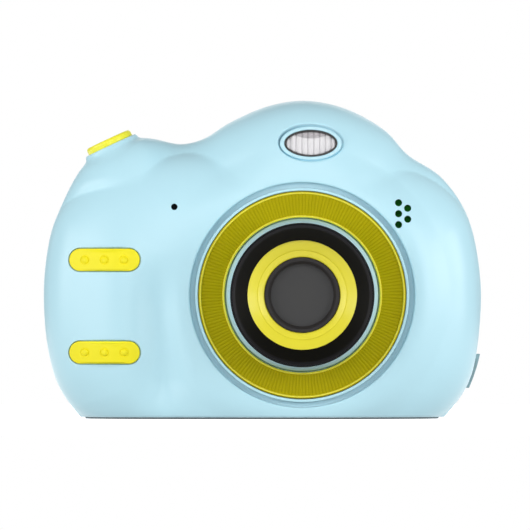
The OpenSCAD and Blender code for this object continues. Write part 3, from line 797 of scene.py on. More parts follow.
def build_front():
    half = Half(-1, front_depth)
    half.cut(circle(LENS, MOAT_R, 360), 0.5,
             [(0, 14.3), (-0.12, 14.08), (-0.3, 14.0), (-1.1, 14.0), (-1.1, 12.6), (-5.7, 12.6)])
    flash_cut(half)
    for spot in SPEAKER_HOLES:
        half.cut(circle(spot, SPEAKER_HOLE_R, 32), 0.1)
    half.cut(circle(MICROPHONE, MICROPHONE_HOLE_R, 32), 0.12)
    for spot in PADS:
        half.pocket(pill(spot, PAD_HALF_LENGTH + 0.1, PAD_HALF_HEIGHT + 0.1), spot, 0.16, 1.3)
    for spot in CASE_SCREWS:
        half.boss(spot, 2.8, PILOT_R, PART_GAP, 8)
    for spot in BOARD_SCREWS:
        half.boss(spot, 2.3, PILOT_R, 0.3, 5)
    half.shell()
    return stands_for(half.work, "front_shell_body", ["shell_blue", "moat_painted_shade"], "front_shell")


def build_rear():
    half = Half(1, rear_depth)
    for key in KEYS:
        spot = middle_of(key + "_button")[[0, 2]]
        half.cut(circle(spot, KEY_R + 0.1, 72), 0.22)
    glass = middle_of("display_window")[[0, 2]]
    wide, _, high = span_of("display_window")
    recess = rectangle(glass, wide + 0.2, high + 0.2, 2.6)
    inner = rectangle(glass, wide - 2.6, high - 2.6, 1.3)(0)
    half.mouth(half.lip(recess, 0.25) + [half.at(recess(0), GLASS_SEAT), half.at(inner, GLASS_SEAT),
                                         half.lift_inner(inner)], inner)
    half.finer_round(recess, 0.45, 0.8)
    for spot in CASE_SCREWS:
        bore = circle(spot, 2.2, 64)
        outer, pilot = (circle(spot, r, 64)(0) for r in (3.4, 1.15))
        half.mouth(half.lip(bore, 0.25) + [
            half.at(bore(0), SCREW_SEAT), half.at(pilot, SCREW_SEAT), half.at(pilot, PART_GAP),
            half.at(outer, PART_GAP), half.lift_inner(outer)], outer)
        half.finer_round(bore, 0.45, 0.75)
    door_cut(half)
    half.shell()
    return stands_for(half.work, "rear_shell_body", ["shell_blue"], "rear_shell")


# ---- Turned and pressed pieces ----

RIGHT, DEEP, UP = np.eye(3)
ON_LENS = (np.array([LENS[0], 0, LENS[1]]), RIGHT, UP, -DEEP)
ON_FLASH = (FLASH, RIGHT, FLASH_UP, FLASH_OUT)
ON_SEAT = (SEAT, SEAT_RIGHT, DEEP, SEAT_UP)
PARTS = {s["node"]: s["material_slot"] for s in frame["record"]["subparts"]}
RIDES = {n: body for body, nodes in frame["record"]["behaviour"]["bodies"].items() for n in nodes}


def placed(axes, points):
    """Points given along right, up and out of a set of axes, in the frame's axes."""
    origin, right, up, out = axes
    points = np.asarray(points, float)
    return origin + points @ np.array([right, up, out])


def flat(uv, height):
    """Points of a plane loop at one height."""
    return stack(*uv.T, height)


def side_and_edge(loop, low, top, drop, lip, steps=4):
    """Rows up a plane shape's side from low, and round its edge at top."""
    return [flat(loop(0), low),
            *rounded(flat(loop(0), top - drop), flat(loop(0), top), flat(loop(-lip), top), steps)]


def band(work, rows, axes):
    """Faces between rows of points that close on themselves."""
    work.grid([placed(axes, row) for row in rows], True)


def sheet(work, axes, height, outer, holes=(), part=0):
    """A flat face at one height, round its holes."""
    faces, uv = fill(outer, holes)
    work.add(placed(axes, flat(uv, height)), faces, part=part)


def softened(profile, closed):
    """A profile of (radius, height, rounding) with its corners turned into short curves."""
    soft = []
    for i, (r, h, *rounding) in enumerate(profile):
        here = np.array([r, h], float)
        if not rounding or (not closed and i in (0, len(profile) - 1)):
            soft.append(here)
            continue
        before = np.array(profile[i - 1][:2]) - here
        after = np.array(profile[(i + 1) % len(profile)][:2]) - here
        reach_in, reach_out = np.linalg.norm(before), np.linalg.norm(after)
        size = min(rounding[0], 0.48 * reach_in, 0.48 * reach_out)
        soft += rounded(here + before / reach_in * size, here, here + after / reach_out * size)
    return soft


def turned(work, profile, axes, segments, closed=True):
    """Turns a profile about the axes' third direction."""
    a = full_turn(segments)
    rows = [placed(axes, stack(r * np.cos(a), r * np.sin(a), h))
            for r, h in softened(profile, closed)]
    work.grid(rows + rows[:1] if closed else rows, True)


def slab(work, loop, low, high, axes, lip=0.08):
    """A plane shape between two heights, with its upper edge rounded."""
    band(work, side_and_edge(loop, low, high, lip, lip, 3), axes)
    sheet(work, axes, low, loop(0))
    sheet(work, axes, high, loop(-lip))


def stands_for(work, name, finishes, node, sharp=35, even=False):
    """Builds a piece with the given finishes and puts it in its CAD node's place, on the same body."""
    piece = work.build(name, [finish_of[f] for f in finishes], sharp)
    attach(piece, RIDES[node])
    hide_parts(node)
    if even:
        smooth = piece.modifiers.new("even_shading", "WEIGHTED_NORMAL")
        smooth.keep_sharp = True
    return piece


def turned_piece(node, profile, axes, finishes, segments, closed=True):
    work = Patchwork()
    turned(work, profile, axes, segments, closed)
    return stands_for(work, node + "_turned", finishes, node, even=True)


RIBS, RIB_STEPS, RIB_HEIGHT = 180, 6, 0.1


def repaint(piece, axes, part, chosen):
    """Gives another material to the faces that a test on turn, radius and height picks."""
    polygons = piece.data.polygons
    centres = np.empty(len(polygons) * 3)
    polygons.foreach_get("center", centres)
    right, up, out = ((centres.reshape(-1, 3) / MM - axes[0]) @ np.array(axes[1:]).T).T
    parts = np.empty(len(polygons), dtype=np.int32)
    polygons.foreach_get("material_index", parts)
    parts[chosen(np.arctan2(up, right), np.hypot(right, up), out, parts)] = part
    polygons.foreach_set("material_index", parts)


def flash_moat_painted_shade(turn, radius, height, part):
    """The upper part of the groove round the flash window, whose faces take a painted shade."""
    u, v = radius * np.cos(turn), radius * np.sin(turn)
    outer = (u / 7.22) ** 2 + ((v - 0.22) / 4.37) ** 2 < 1
    inner = (u / 6.77) ** 2 + (v / 3.77) ** 2 > 1
    return outer & inner & (v > -1.6) & (height > -3) & (height < 1)


def build_ring():
    """The decorative ring: two bright rims and a face of fine radial ribs. The face and the outer rim's
    outer slope take a darker yellow, and the grooves between the ribs a darker olive: painted shade.
    """
    work = Patchwork()
    segments = RIBS * RIB_STEPS
    rims = [(17.5, 15.75), (17.35, 16.15, 0.07), (17.15, 16.15, 0.07), (16.95, 15.9, 0.1),
            (16.95, 14.65), (22.7, 14.65), (22.7, 15.9, 0.1), (22.45, 16.15, 0.07),
            (22.2, 16.15, 0.07), (22.05, 15.75)]
    turned(work, rims, ON_LENS, segments, closed=False)
    a = full_turn(segments)
    wave = RIB_HEIGHT * (1 - np.cos(a * RIBS)) / 2
    rows = []
    for r, share in [(17.5, 0), (17.57, 0.75), (17.69, 1), (19.1, 1), (20.5, 1), (21.86, 1),
                     (21.98, 0.75), (22.05, 0)]:
        rows.append(placed(ON_LENS, stack(r * np.cos(a), r * np.sin(a), 15.75 + share * wave)))
    work.grid(rows, True, part=1)
    ring = stands_for(work, "lens_ring_ribbed", ["rim_yellow", "ring_yellow", "rib_groove_painted_shade"],
                      "lens_outer_ring", 50)
    # Painted shade: darker olive in the grooves between the ribs, the face's darker yellow on the outer
    # rim's outer slope
    repaint(ring, ON_LENS, 2, lambda turn, r, height, part: (part == 1) & (np.cos(turn * RIBS) > 0.1))
    repaint(ring, ON_LENS, 1, lambda turn, r, height, part: r > 22.44)


def build_flash_rim():
    work = Patchwork()
    outer, inner = oval(5.8, 2.95), oval(5.42, 2.6)
    rows = [*side_and_edge(outer, -2.4, 0.15, 0.1, 0.1),
            *rounded(flat(inner(0.1), 0.15), flat(inner(0), 0.15), flat(inner(0), 0.05)),
            flat(inner(0), -2.4), flat(outer(0), -2.4)]
    band(work, rows, ON_FLASH)
    stands_for(work, "flash_rim_ring", ["black_gloss"], "flash_rim", even=True)


FLUTE_PITCH, FLUTE_BASE, WINDOW_A, WINDOW_B = 1.3, -1.1, 5.35, 2.55


def build_flash_lens():
    """The clear window: a thin smooth front over an oval of upright half-round flutes, coloured with
    painted light and shade of the reflector behind.
    """
    places = [(-WINDOW_A, FLUTE_BASE)]
    for k in range(-4, 5):
        for turn in np.radians(np.linspace(-84, 84, 13)):
            u = k * FLUTE_PITCH + FLUTE_PITCH / 2 * math.sin(turn)
            if abs(u) < WINDOW_A - 0.02:
                places.append((u, FLUTE_BASE + FLUTE_PITCH / 2 * math.cos(turn)))
    places.append((WINDOW_A, FLUTE_BASE))
    u, h = np.array(places).T
    half = WINDOW_B * np.sqrt(np.maximum(1 - (u / WINDOW_A) ** 2, 0))
    shares = np.array([-1, -0.5, 0, 0.5, 1])
    top = [placed(ON_FLASH, stack(u, half * s, h)) for s in shares]
    bottom = [placed(ON_FLASH, stack(u, half * s, -2.3)) for s in shares]
    work = Patchwork()
    for rows in (top, bottom, [top[0], bottom[0]], [top[-1], bottom[-1]]):
        work.grid(rows, part=1)
    for end in (0, -1):
        work.grid([[row[end] for row in top], [row[end] for row in bottom]], part=1)
    rim = oval(WINDOW_A, WINDOW_B)
    rows = [flat(rim(0), -0.35),
            *rounded(flat(rim(0), -0.2), flat(rim(0), -0.08), flat(rim(-0.12), -0.05))]
    rows += [flat(rim(0) * share, 0.08 - 0.13 * share**2) for share in (0.8, 0.55, 0.3)]
    band(work, rows, ON_FLASH)
    work.fan(placed(ON_FLASH, rows[-1]), placed(ON_FLASH, [(0, 0, 0.08)])[0])
    work.fan(placed(ON_FLASH, rows[0]), placed(ON_FLASH, [(0, 0, -0.35)])[0])
    stands_for(work, "flash_window_fluted", ["clear_plastic", "flute_painted_light"], "flash_lens", 55)


STUD_STEP = 4.3
PAD_GAP = 0.08
STUD = [(1.04, 0.15), (0.98, 0.12), (0.92, 0), (0.84, 0), (0.8, 0.14), (0.72, 0.3), (0.6, 0.42),
        (0.4, 0.52), (0.15, 0.59)]


def build_pad(node, spot):
    """A soft pad that follows the front, with a rounded edge and three studs."""
    work = Patchwork()
    rim = pill(spot, PAD_HALF_LENGTH - PAD_GAP, PAD_HALF_HEIGHT - PAD_GAP)

    def on_front(xz, above):
        return stack(xz[:, 0], -(front_depth(xz) + above), xz[:, 1])

    side = rounded(on_front(rim(0), -0.12), on_front(rim(0), 0.15), on_front(rim(-0.34), 0.15), 6)
    work.grid([on_front(rim(0), -1.25), *side], True)
    studs = [circle(spot + np.array([k * STUD_STEP, 0]), 0, 40) for k in (-1, 0, 1)]
    holes = [s(STUD[0][0]) for s in studs]
    top = rim(-0.34)
    rings = [s(r) for s in studs for r in (1.16, 1.34)]
    faces, xz = fill(top, holes, [*rings, lattice(top, holes, 0.42, rings)])
    work.add(on_front(xz, 0.15), faces)
    for stud in studs:
        rows = [on_front(stud(r), h) for r, h in STUD]
        work.grid(rows, True)
        work.fan(rows[-1], on_front(stud(0)[:1], 0.6)[0])
    faces, xz = filled(rim(0), 1.2)
    work.add(on_front(xz, -1.25), faces)
    stands_for(work, node + "_studded", ["pad_yellow"], node, 60)


ARROW_SIZE, ARROW_ROUND = 1.25, 0.3


def arrow(way):
    """A small triangle with rounded corners that points one way."""
    corners = [math.radians(way + k * 120) for k in range(3)]

    def loop(d):
        ring = []
        for a in corners:
            tip = (ARROW_SIZE - ARROW_ROUND) * np.array([math.cos(a), math.sin(a)])
            for turn in np.linspace(-60, 60, 7):
                t = a + math.radians(turn)
                ring.append(tip + (ARROW_ROUND + d) * np.array([math.cos(t), math.sin(t)]))
        return np.array(ring)
    return loop


def open_ring(r, width, gap):
    """A ring with a gap at its top, as on a power key."""
    def loop(d):
        a = np.linspace(math.pi / 2 + gap, math.pi / 2 + math.tau - gap, 40)
        wheel = stack(np.cos(a), np.sin(a))
        return np.concatenate([(r + width / 2 + d) * wheel, (r - width / 2 - d) * wheel[::-1]])
    return loop


def build_key(name):
    """A round rear key with a sunk top and a small raised mark."""
    node = name + "_button"
    x, _, z = middle_of(node)
    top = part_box(node)[1][1] / MM
    axes = (np.array([x, 0, z]), -RIGHT, UP, DEEP)
    r = KEY_R
    work = Patchwork()
    profile = [(0, 8), (1.6, 8), (1.6, 12), (r + 0.8, 12), (r + 0.8, 12.85), (r, 12.85), (r, top, 0.4),
               (2.45, top, 0.12), (2.25, top - 0.1, 0.12), (0, top - 0.1)]
    turned(work, profile, axes, 96, closed=False)
    low, high = top - 0.2, top
    if name == "ok":
        slab(work, circle((0, 0), 0.75, 40), low, high, axes)
    elif name == "power":
        slab(work, open_ring(1.15, 0.3, 0.5), low, high, axes, 0.06)
        slab(work, rectangle((0, 0.95), 0.3, 1.1, 0.1, along=3, turn=4), low, high, axes, 0.06)
    else:
        slab(work, arrow({"up": 90, "down": 270, "left": 0, "right": 180}[name]), low, high, axes)
    stands_for(work, name + "_key_cap", ["button_yellow"], node, even=True)


FOOT_GROOVE, FOOT_PITCH = 0.18, 2.6


def build_foot():
    """The rubber strip under the base, with shallow grooves along it."""
    a = np.radians(np.arange(0, 360, 1.5))
    c, s = np.cos(a), np.sin(a)
    half_x, half_y = span_of("base_pad")[:2] / 2

    def loop(d):
        return stack((half_x + d) * np.sign(c) * np.abs(c) ** 0.667,
                     (half_y + d) * np.sign(s) * np.abs(s) ** 0.909)
    axes = (np.zeros(3), RIGHT, DEEP, UP)
    work = Patchwork()
    band(work, side_and_edge(loop, 1.0, 0, -0.2, 0.25), axes)
    sheet(work, axes, 1.0, loop(0))
    low = loop(-0.25)
    faces, uv = filled(low, 0.55)
    within = np.arange(len(uv)) >= len(low)
    groove = FOOT_GROOVE * np.maximum(np.cos(uv[:, 1] / FOOT_PITCH * math.tau), 0) ** 2 * within
    work.add(placed(axes, flat(uv, groove)), faces)
    stands_for(work, "foot_strip", ["dark_rubber"], "base_pad", 60, even=True)


def build_door():
    """The soft side door: flush with the shell, with a thin hinge line and a notch for a nail."""
    loop = rectangle(DOOR_MIDDLE, *DOOR_SIZE, DOOR_CORNER, along=30)

    def inset(yz):
        from_ends = np.minimum(yz[:, 0] - 2.2, 10 - yz[:, 0])
        hinge = 0.35 * bell(yz[:, 1], 39.3, 0.4) * ease(0, 0.6, from_ends)
        nail = 0.55 * bell(yz[:, 1], 17.4, 0.55) * bell(yz[:, 0], DOOR_MIDDLE[0], 1.6)
        return 0.02 + hinge + nail

    lip = 0.3
    work = Patchwork()
    rows = [on_side(loop(0), DOOR_THICK),
            *rounded(on_side(loop(0), lip), on_side(loop(0), 0.02),
                     on_side(loop(-lip), inset(loop(-lip))))]
    work.grid(rows, True)
    faces, yz = filled(loop(-lip), 0.32)
    work.add(on_side(yz, inset(yz)), faces)
    faces, yz = filled(loop(0), 0.9)
    work.add(on_side(yz, DOOR_THICK), faces)
    stands_for(work, "side_door", ["door_rubber"], "port_door", 50)


def build_screen():
    """The rear window: a black border round the picture area."""
    centre = middle_of("display_window")
    wide, _, high = span_of("display_window")
    low, top = (v[1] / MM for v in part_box("display_window"))
    outer = rectangle((0, 0), wide, high, 2.5)
    screen = rectangle((0, 0.4), 37.4, 28.1, 0.8)
    axes = (np.array([centre[0], 0, centre[2]]), -RIGHT, UP, DEEP)
    work = Patchwork()
    band(work, side_and_edge(outer, low, top, 0.2, 0.2), axes)
    sheet(work, axes, low, outer(0))
    sheet(work, axes, top, outer(-0.2), [screen(0)])
    sheet(work, axes, top, screen(0), part=1)
    stands_for(work, "display_glass", ["window_dark", "screen_dark"], "display_window", even=True)


# ---- Materials ----


def colour(red, green, blue):
    """A colour given as 0 to 255, as the linear values that nodes take."""
    return tuple((c / 255 / 12.92 if c < 11 else ((c / 255 + 0.055) / 1.055) ** 2.4)
                 for c in (red, green, blue)) + (1.0,)


def shaded(rgba, share):
    return tuple(min(c * share, 1.0) for c in rgba[:3]) + (1.0,)


class Finish:
    """A node material in object space. Sizes are in millimetres."""

    def __init__(self, name, base, roughness, vary, blotch):
        self.material = bpy.data.materials.new(name)
        self.material.use_nodes = True
        self.tree = self.material.node_tree
        self.shader = self.tree.nodes["Principled BSDF"]
        self.place = self.node("ShaderNodeTexCoord").outputs["Object"]
        self.normal = None
        self.tone = self.node("ShaderNodeMix", {
            "A": shaded(base, 1 - vary), "B": shaded(base, 1 + vary), "Factor": self.noise(blotch, 3),
        }, data_type="RGBA").outputs["Result"]
        self.feed("Base Color", self.tone)
        self.feed("Roughness", self.node("ShaderNodeMapRange", {
            "To Min": roughness * 0.88, "To Max": roughness * 1.12,
            "Value": self.noise(blotch * 0.35, 4)}).outputs["Result"])

    def node(self, kind, values=None, **settings):
        """A new node. Its inputs take the values: numbers, or outputs of other nodes as links."""
        made = self.tree.nodes.new(kind)
        for key, value in settings.items():
            setattr(made, key, value)
        for socket, value in (values or {}).items():
            if isinstance(value, bpy.types.NodeSocket):
                self.tree.links.new(value, made.inputs[socket])
            else:
                made.inputs[socket].default_value = value
        return made

    def feed(self, socket, out):
        self.tree.links.new(out, self.shader.inputs[socket])

    def noise(self, size, detail, stretch=None):
        """A noise whose features are about this many millimetres across."""
        place = self.place
        if stretch:
            values = {"Vector": place, "Scale": stretch}
            place = self.node("ShaderNodeMapping", values).outputs["Vector"]
        return self.node("ShaderNodeTexNoise", {
            "Vector": place, "Scale": 1 / (size * MM), "Detail": detail}).outputs["Fac"]

    def bump(self, height, depth):
        """Adds a bump this many millimetres deep."""
        values = {"Distance": depth * MM, "Height": height}
        if self.normal is not None:
            values["Normal"] = self.normal
        self.normal = self.node("ShaderNodeBump", values).outputs["Normal"]
        self.feed("Normal", self.normal)

    def grain(self, size, depth):
        """Fine texture of a moulded surface."""
        self.bump(self.noise(size, 2), depth)

    def brushed(self, size, depth):
        self.bump(self.noise(size, 2, (1, 1, 0.05)), depth)

    def waves(self, pitch, depth, direction):
        """Even ridges across a direction: a weave, a ribbon's tracks."""
        wave = self.node("ShaderNodeTexWave", {"Vector": self.place, "Scale": 0.314 / (pitch * MM)},
                         bands_direction=direction)
        self.bump(wave.outputs["Fac"], depth)

    def math(self, operation, a, b):
        return self.node("ShaderNodeMath", {0: a, 1: b}, operation=operation).outputs["Value"]

    def tiers(self, middle, bow, stops):
        """Painted light and shade in bowed bands of colour, at these heights in millimetres over a
        middle in X and Z.
        """
        split = self.node("ShaderNodeSeparateXYZ", {"Vector": self.place})
        across = self.math("SUBTRACT", split.outputs["X"], middle[0] * MM)
        bowed = self.math("MULTIPLY", self.math("MULTIPLY", across, across), bow / MM)
        above = self.math("SUBTRACT", split.outputs["Z"], middle[1] * MM)
        low, high = stops[0][0], stops[-1][0]
        share = self.node("ShaderNodeMapRange", {
            "From Min": low * MM, "From Max": high * MM, "Value": self.math("SUBTRACT", above, bowed)})
        ramp = self.node("ShaderNodeValToRGB", {"Fac": share.outputs["Result"]})
        for at, rgba in stops[1:-1]:
            ramp.color_ramp.elements.new((at - low) / (high - low)).color = rgba
        for end in (0, -1):
            ramp.color_ramp.elements[end].color = stops[end][1]
        self.feed("Base Color", ramp.outputs["Color"])

    def wear(self, light, amount):
        """Edges and raised corners look a little lighter, as handling leaves them."""
        raised = self.node("ShaderNodeNewGeometry").outputs["Pointiness"]
        ramp = self.node("ShaderNodeMapRange", {
            "From Min": 0.52, "From Max": 0.6, "To Max": amount, "Value": raised})
        self.feed("Base Color", self.node("ShaderNodeMix", {
            "A": self.tone, "B": light, "Factor": ramp.outputs["Result"],
        }, data_type="RGBA").outputs["Result"])


GRAIN, BRUSHED, WAVES = Finish.grain, Finish.brushed, Finish.waves

# Each finish: its colour, its roughness, how much both vary, the size of its blotches, its textures
FINISHES = {
    "shell_blue": [(190, 233, 246), 0.34, 0.012, 14, (GRAIN, 0.14, 0.003), (GRAIN, 1.6, 0.003)],
    # A darker, greyer copy of the shell's blue: painted shade in the moats round the lens and the flash
    "moat_painted_shade": [(193, 222, 231), 0.6, 0.012, 12, (GRAIN, 0.12, 0.002)],
    "lens_blue": [(186, 231, 243), 0.3, 0.012, 12, (GRAIN, 0.12, 0.002)],
    "barrel_blue": [(190, 226, 236), 0.6, 0.012, 12, (GRAIN, 0.12, 0.002)],
    # A darker, greyer copy of the shell's blue: painted shade on the side-facing strap lug
    "lug_painted_shade": [(150, 180, 186), 0.4, 0.02, 4, (GRAIN, 0.12, 0.003)],
    # Darker copies of the ring's yellow for its ribbed face and the grooves between the ribs: painted
    # shade
    "ring_yellow": [(174, 161, 0), 0.6, 0.03, 3],
    "rib_groove_painted_shade": [(161, 150, 0), 0.7, 0.03, 3],
    "rim_yellow": [(236, 224, 56), 0.28, 0.02, 3, (GRAIN, 0.1, 0.002)],
    "cone_yellow": [(255, 243, 64), 0.3, 0.015, 4, (GRAIN, 0.1, 0.002)],
    "button_yellow": [(248, 243, 58), 0.28, 0.015, 4, (GRAIN, 0.1, 0.002)],
    "pad_yellow": [(250, 238, 26), 0.5, 0.03, 3, (GRAIN, 0.16, 0.006)],
    "black_plastic": [(20, 20, 21), 0.42, 0.1, 5, (GRAIN, 0.12, 0.004)],
    "bezel_black": [(9, 9, 11), 0.5, 0.1, 5, (GRAIN, 0.12, 0.004)],
    # A lighter black: a painted highlight on the bezel's chamfer, and painted shade on the barrel's
    # front lip
    "edge_painted_sheen_and_shade": [(21, 21, 24), 0.5, 0.06, 5, (GRAIN, 0.12, 0.003)],
    "black_gloss": [(17, 17, 18), 0.22, 0.08, 6, (GRAIN, 0.2, 0.001)],
    "retainer_black": [(50, 48, 50), 0.4, 0.06, 4, (GRAIN, 0.2, 0.001)],
    "dark_rubber": [(70, 84, 92), 0.62, 0.06, 3, (GRAIN, 0.18, 0.012)],
    "door_rubber": [(184, 228, 243), 0.5, 0.02, 6, (GRAIN, 0.16, 0.006)],
    "lens_glass": [(78, 78, 79), 0.08, 0.02, 9, (GRAIN, 3.0, 0.001)],
    "clear_plastic": [(240, 238, 240), 0.05, 0.01, 3, (GRAIN, 0.5, 0.001)],
    "flute_painted_light": [(235, 233, 236), 0.2, 0.02, 2],
    "mirror_coat": [(235, 235, 238), 0.3, 0.03, 2, (GRAIN, 0.4, 0.004)],
    "steel": [(178, 181, 186), 0.3, 0.05, 2, (BRUSHED, 0.06, 0.002)],
    "mesh_green": [(4, 135, 0), 0.6, 0.12, 0.6, (WAVES, 0.34, 0.05, "X"), (WAVES, 0.34, 0.05, "Z")],
    "board_green": [(30, 94, 58), 0.35, 0.08, 2, (WAVES, 1.1, 0.01, "X")],
    "chip_black": [(26, 27, 29), 0.5, 0.1, 1, (GRAIN, 0.1, 0.006)],
    "sensor_blue": [(43, 58, 85), 0.12, 0.08, 2, (GRAIN, 0.3, 0.001)],
    "flex_amber": [(184, 134, 43), 0.25, 0.06, 2, (WAVES, 0.6, 0.01, "X")],
    "foil_grey": [(143, 148, 153), 0.38, 0.06, 3, (GRAIN, 2.2, 0.05)],
    "led_yellow": [(242, 230, 140), 0.35, 0.05, 1, (GRAIN, 0.15, 0.004)],
    "lead_red": [(192, 48, 48), 0.4, 0.05, 2, (GRAIN, 0.2, 0.004)],
    "white_plastic": [(228, 228, 224), 0.45, 0.02, 6, (GRAIN, 0.14, 0.004)],
    "lcd_dark": [(30, 35, 42), 0.14, 0.05, 8, (GRAIN, 0.3, 0.001)],
    "window_dark": [(16, 18, 20), 0.1, 0.05, 10, (GRAIN, 2.5, 0.001)],
    "screen_dark": [(40, 46, 54), 0.12, 0.04, 10, (GRAIN, 2.5, 0.001)],
}
SPECULAR = {"moat_painted_shade": 0.15, "barrel_blue": 0.05, "ring_yellow": 0.08, "rib_groove_painted_shade": 0.05,
            "pad_yellow": 0.3, "bezel_black": 0.12, "edge_painted_sheen_and_shade": 0.15, "retainer_black": 0.15,
            "lens_glass": 0.4}
METALLIC = {"mirror_coat": 0.6, "steel": 1.0, "foil_grey": 0.8}
COATED = ["window_dark", "screen_dark"]
WORN = {"shell_blue": (206, 240, 250), "black_plastic": (60, 60, 62)}
# Heights over the middle of the flash window and the colours painted there: a dark painted reflection
# at the lower edge, a bright band of painted light, a soft grey of painted shade above
FLUTE_PAINTED_TIERS = [(-3, (46, 46, 52)), (-2.6, (60, 58, 62)), (-2.35, (236, 235, 238)),
               (0.9, (240, 239, 241)), (1.25, (170, 164, 168)), (3, (186, 178, 182))]


def make_finishes():
    """One material for each slot of the record, and a few extra for parts of pieces."""
    made = {}
    for name, (rgb, roughness, vary, blotch, *textures) in FINISHES.items():
        made[name] = Finish(name, colour(*rgb), roughness, vary, blotch)
        for texture, *sizes in textures:
            texture(made[name], *sizes)
    for socket, values in (("Specular IOR Level", SPECULAR), ("Metallic", METALLIC),
                           ("Coat Weight", dict.fromkeys(COATED, 0.5)),
                           ("Coat Roughness", dict.fromkeys(COATED, 0.03)),
                           ("Alpha", {"clear_plastic": 0.15})):
        for name, value in values.items():
            made[name].shader.inputs[socket].default_value = value
    # Painted light and shade on the flutes, in bands by height
    made["flute_painted_light"].tiers(FLASH[[0, 2]], 0.06, [(at, colour(*rgb)) for at, rgb in FLUTE_PAINTED_TIERS])
    for name, light in WORN.items():
        made[name].wear(colour(*light), 0.5)
    return {name: finish.material for name, finish in made.items()}


# ---- The object ----

finish_of = make_finishes()

shell = build_front()
# Painted shade: the lens moat's wall and floor, and the upper part of the flash moat, take a darker,
# greyer blue
repaint(shell, ON_LENS, 1, lambda turn, r, height, part: (r < 24.7) & (height < 15.4) & (height > 12))
repaint(shell, ON_FLASH, 1, flash_moat_painted_shade)
build_rear()
build_foot()

# Profiles of the turned pieces: radius, height along the axis and the rounding of a corner
barrel = turned_piece("lens_barrel", [
    (12.4, 9.6), (18.8, 9.6), (18.8, 12.6), (23.45, 12.6), (23.45, 15.95, 0.12), (22.85, 15.95, 0.1),
    (22.75, 14.6), (16.85, 14.6), (16.6, 16), (15.75, 25.5, 0.2), (15.5, 25.45, 0.08), (15.5, 21),
    (13.5, 21), (13.5, 13), (12.4, 13)], ON_LENS, ["lens_blue", "barrel_blue", "edge_painted_sheen_and_shade"], 256)
repaint(barrel, ON_LENS, 1, lambda turn, r, height, part: (r < 17) & (height > 15))
# Painted shade: the barrel's front lip takes the dark grey of the bezel's edge
repaint(barrel, ON_LENS, 2, lambda turn, r, height, part: (r < 16) & (height > 25.3))
build_ring()
bezel = turned_piece("lens_bezel", [
    (11.95, 21.05), (15.45, 21.05), (15.45, 25.4, 0.1), (15.25, 25.5, 0.1), (14.7, 25.1, 0.15),
    (11.95, 21.7, 0.15)], ON_LENS, ["bezel_black", "edge_painted_sheen_and_shade"], 256)
# Painted highlight: the bezel's chamfer takes a lighter black
repaint(bezel, ON_LENS, 1, lambda turn, r, height, part: (r > 14.6) & (height > 24.9))
turned_piece("lens_cone_ring", [
    (8.3, 17), (13.4, 17), (13.4, 20.95), (11.97, 20.95, 0.1), (9.85, 19.32, 0.08), (9.72, 19.1, 0.05),
    (9.58, 19.02, 0.06), (8.3, 18.3, 0.12)], ON_LENS, ["cone_yellow"], 256)
turned_piece("lens_retaining_ring", [
    (6.85, 16.4), (8.25, 16.4), (8.25, 18.6, 0.2), (7.5, 18.6, 0.15), (6.85, 17.9, 0.1)],
    ON_LENS, ["retainer_black"], 192)
turned_piece("lens_window", [(0, 15.25), (8.2, 15.25), (8.2, 16.35, 0.1), (0, 16.35)],
             ON_LENS, ["lens_glass"], 192, closed=False)

build_flash_rim()
build_flash_lens()
for pad, spot in zip(("grip_pad_upper", "grip_pad_lower"), PADS):
    build_pad(pad, spot)
turned_piece("shutter_button", [
    (0, -5.5), (1.6, -5.5), (1.6, -3.1), (5.95, -3.1), (5.95, -2.3), (5.25, -2.3), (5.25, 1.5, 0.75),
    (3.6, 1.5, 0.8), (3.2, 1.44, 0.8), (0, 1.4)], ON_SEAT, ["button_yellow"], 160, closed=False)
for key in KEYS:
    build_key(key)
build_door()
build_screen()

# The strap lug's finish is the shell's blue with painted shade
OWN_FINISH = {"strap_lug": "lug_painted_shade", "microphone": "bezel_black"}
for node, kept in frame["nodes"].items():
    kept.data.materials.clear()
    kept.data.materials.append(finish_of[OWN_FINISH.get(node, PARTS[node])])
    if kept.hide_render:
        continue
    weld = kept.modifiers.new("weld", "WELD")
    weld.merge_threshold = 0.002 * MM
    bevel = kept.modifiers.new("edges", "BEVEL")
    bevel.width, bevel.segments = 0.12 * MM, 2
    bevel.limit_method, bevel.angle_limit = "ANGLE", math.radians(40)
    bevel.harden_normals = True


# ---- Camera, light and floor ----

scene = bpy.context.scene
scene.view_settings.view_transform = "Standard"

CAMERA_AWAY, CAMERA_X, CAMERA_Z = 3.0, 0.00066, 0.03377
VIEW_WIDTH, SENSOR = 0.1166, 36.0
camera = bpy.data.objects.new("camera", bpy.data.cameras.new("camera"))
camera.location = (CAMERA_X, -CAMERA_AWAY, CAMERA_Z)
camera.rotation_euler = (math.radians(90), 0, 0)
camera.data.sensor_width = SENSOR
camera.data.lens = SENSOR * CAMERA_AWAY / VIEW_WIDTH
camera.data.clip_start, camera.data.clip_end = 0.01, 100
scene.collection.objects.link(camera)
scene.camera = camera

AIM = Vector((0, 0, 0.034))
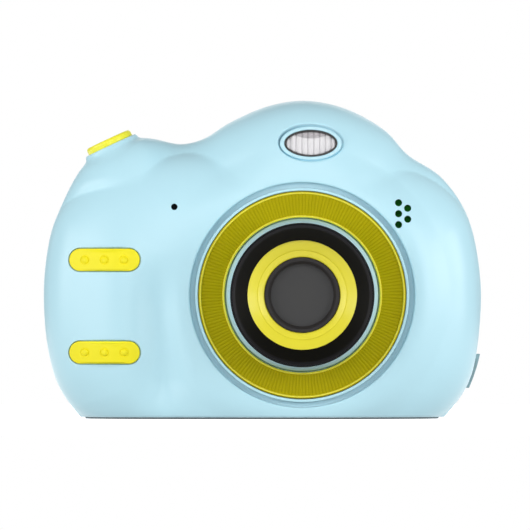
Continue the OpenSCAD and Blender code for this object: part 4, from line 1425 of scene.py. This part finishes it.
# Each light: azimuth, elevation, distance, size and power
LIGHTS = [
    ("light_front", 0, 14, 1.6, 0.7, 4.7),
    ("light_left", -50, 8, 1.0, 0.6, 3.6),
    ("light_right", 50, 8, 1.0, 0.6, 3.8),
    ("light_far_left", -80, 8, 1.0, 0.35, 1.7),
    ("light_far_right", 80, 8, 1.0, 0.35, 2.3),
    ("light_back", 180, 12, 1.2, 0.7, 1.7),
]
for name, azimuth, elevation, away, size, power in LIGHTS:
    a, e = math.radians(azimuth), math.radians(elevation)
    back = Vector((math.sin(a) * math.cos(e), -math.cos(a) * math.cos(e), math.sin(e)))
    lamp = bpy.data.objects.new(name, bpy.data.lights.new(name, "AREA"))
    lamp.data.size, lamp.data.energy = size, power
    lamp.location = AIM + back * away
    lamp.rotation_euler = back.to_track_quat("Z", "Y").to_euler()
    lamp.visible_camera = False
    scene.collection.objects.link(lamp)

world = bpy.data.worlds.new("studio")
scene.world = world
world.use_nodes = True
nodes, links = world.node_tree.nodes, world.node_tree.links
nodes.clear()
seen, lit = nodes.new("ShaderNodeBackground"), nodes.new("ShaderNodeBackground")
for background in (seen, lit):
    background.inputs["Color"].default_value = (1, 1, 1, 1)
height = nodes.new("ShaderNodeSeparateXYZ")
links.new(nodes.new("ShaderNodeTexCoord").outputs["Generated"], height.inputs["Vector"])
falloff = nodes.new("ShaderNodeMapRange")
for limit, value in (("From Min", -0.6), ("From Max", 0.8), ("To Min", 0.33), ("To Max", 0.36)):
    falloff.inputs[limit].default_value = value
links.new(height.outputs["Z"], falloff.inputs["Value"])
links.new(falloff.outputs["Result"], lit.inputs["Strength"])
which = nodes.new("ShaderNodeMixShader")
links.new(nodes.new("ShaderNodeLightPath").outputs["Is Camera Ray"], which.inputs["Fac"])
links.new(lit.outputs["Background"], which.inputs[1])
links.new(seen.outputs["Background"], which.inputs[2])
links.new(which.outputs["Shader"], nodes.new("ShaderNodeOutputWorld").inputs["Surface"])

FLOOR_RADIUS = 0.3
FLOOR_DROP = 0.00002
ring = [(FLOOR_RADIUS * math.cos(a), FLOOR_RADIUS * math.sin(a), -FLOOR_DROP)
        for a in full_turn(128)]
floor_mesh = bpy.data.meshes.new("floor")
floor_mesh.from_pydata(ring, [], [tuple(range(len(ring)))])
floor = bpy.data.objects.new("floor", floor_mesh)
scene.collection.objects.link(floor)
floor_finish = Finish("floor_paint", colour(246, 246, 246), 0.8, 0.004, 40)
floor_finish.shader.inputs["Emission Color"].default_value = (1, 1, 1, 1)
floor_finish.shader.inputs["Emission Strength"].default_value = 1.1
floor_mesh.materials.append(floor_finish.material)
floor.visible_diffuse = False
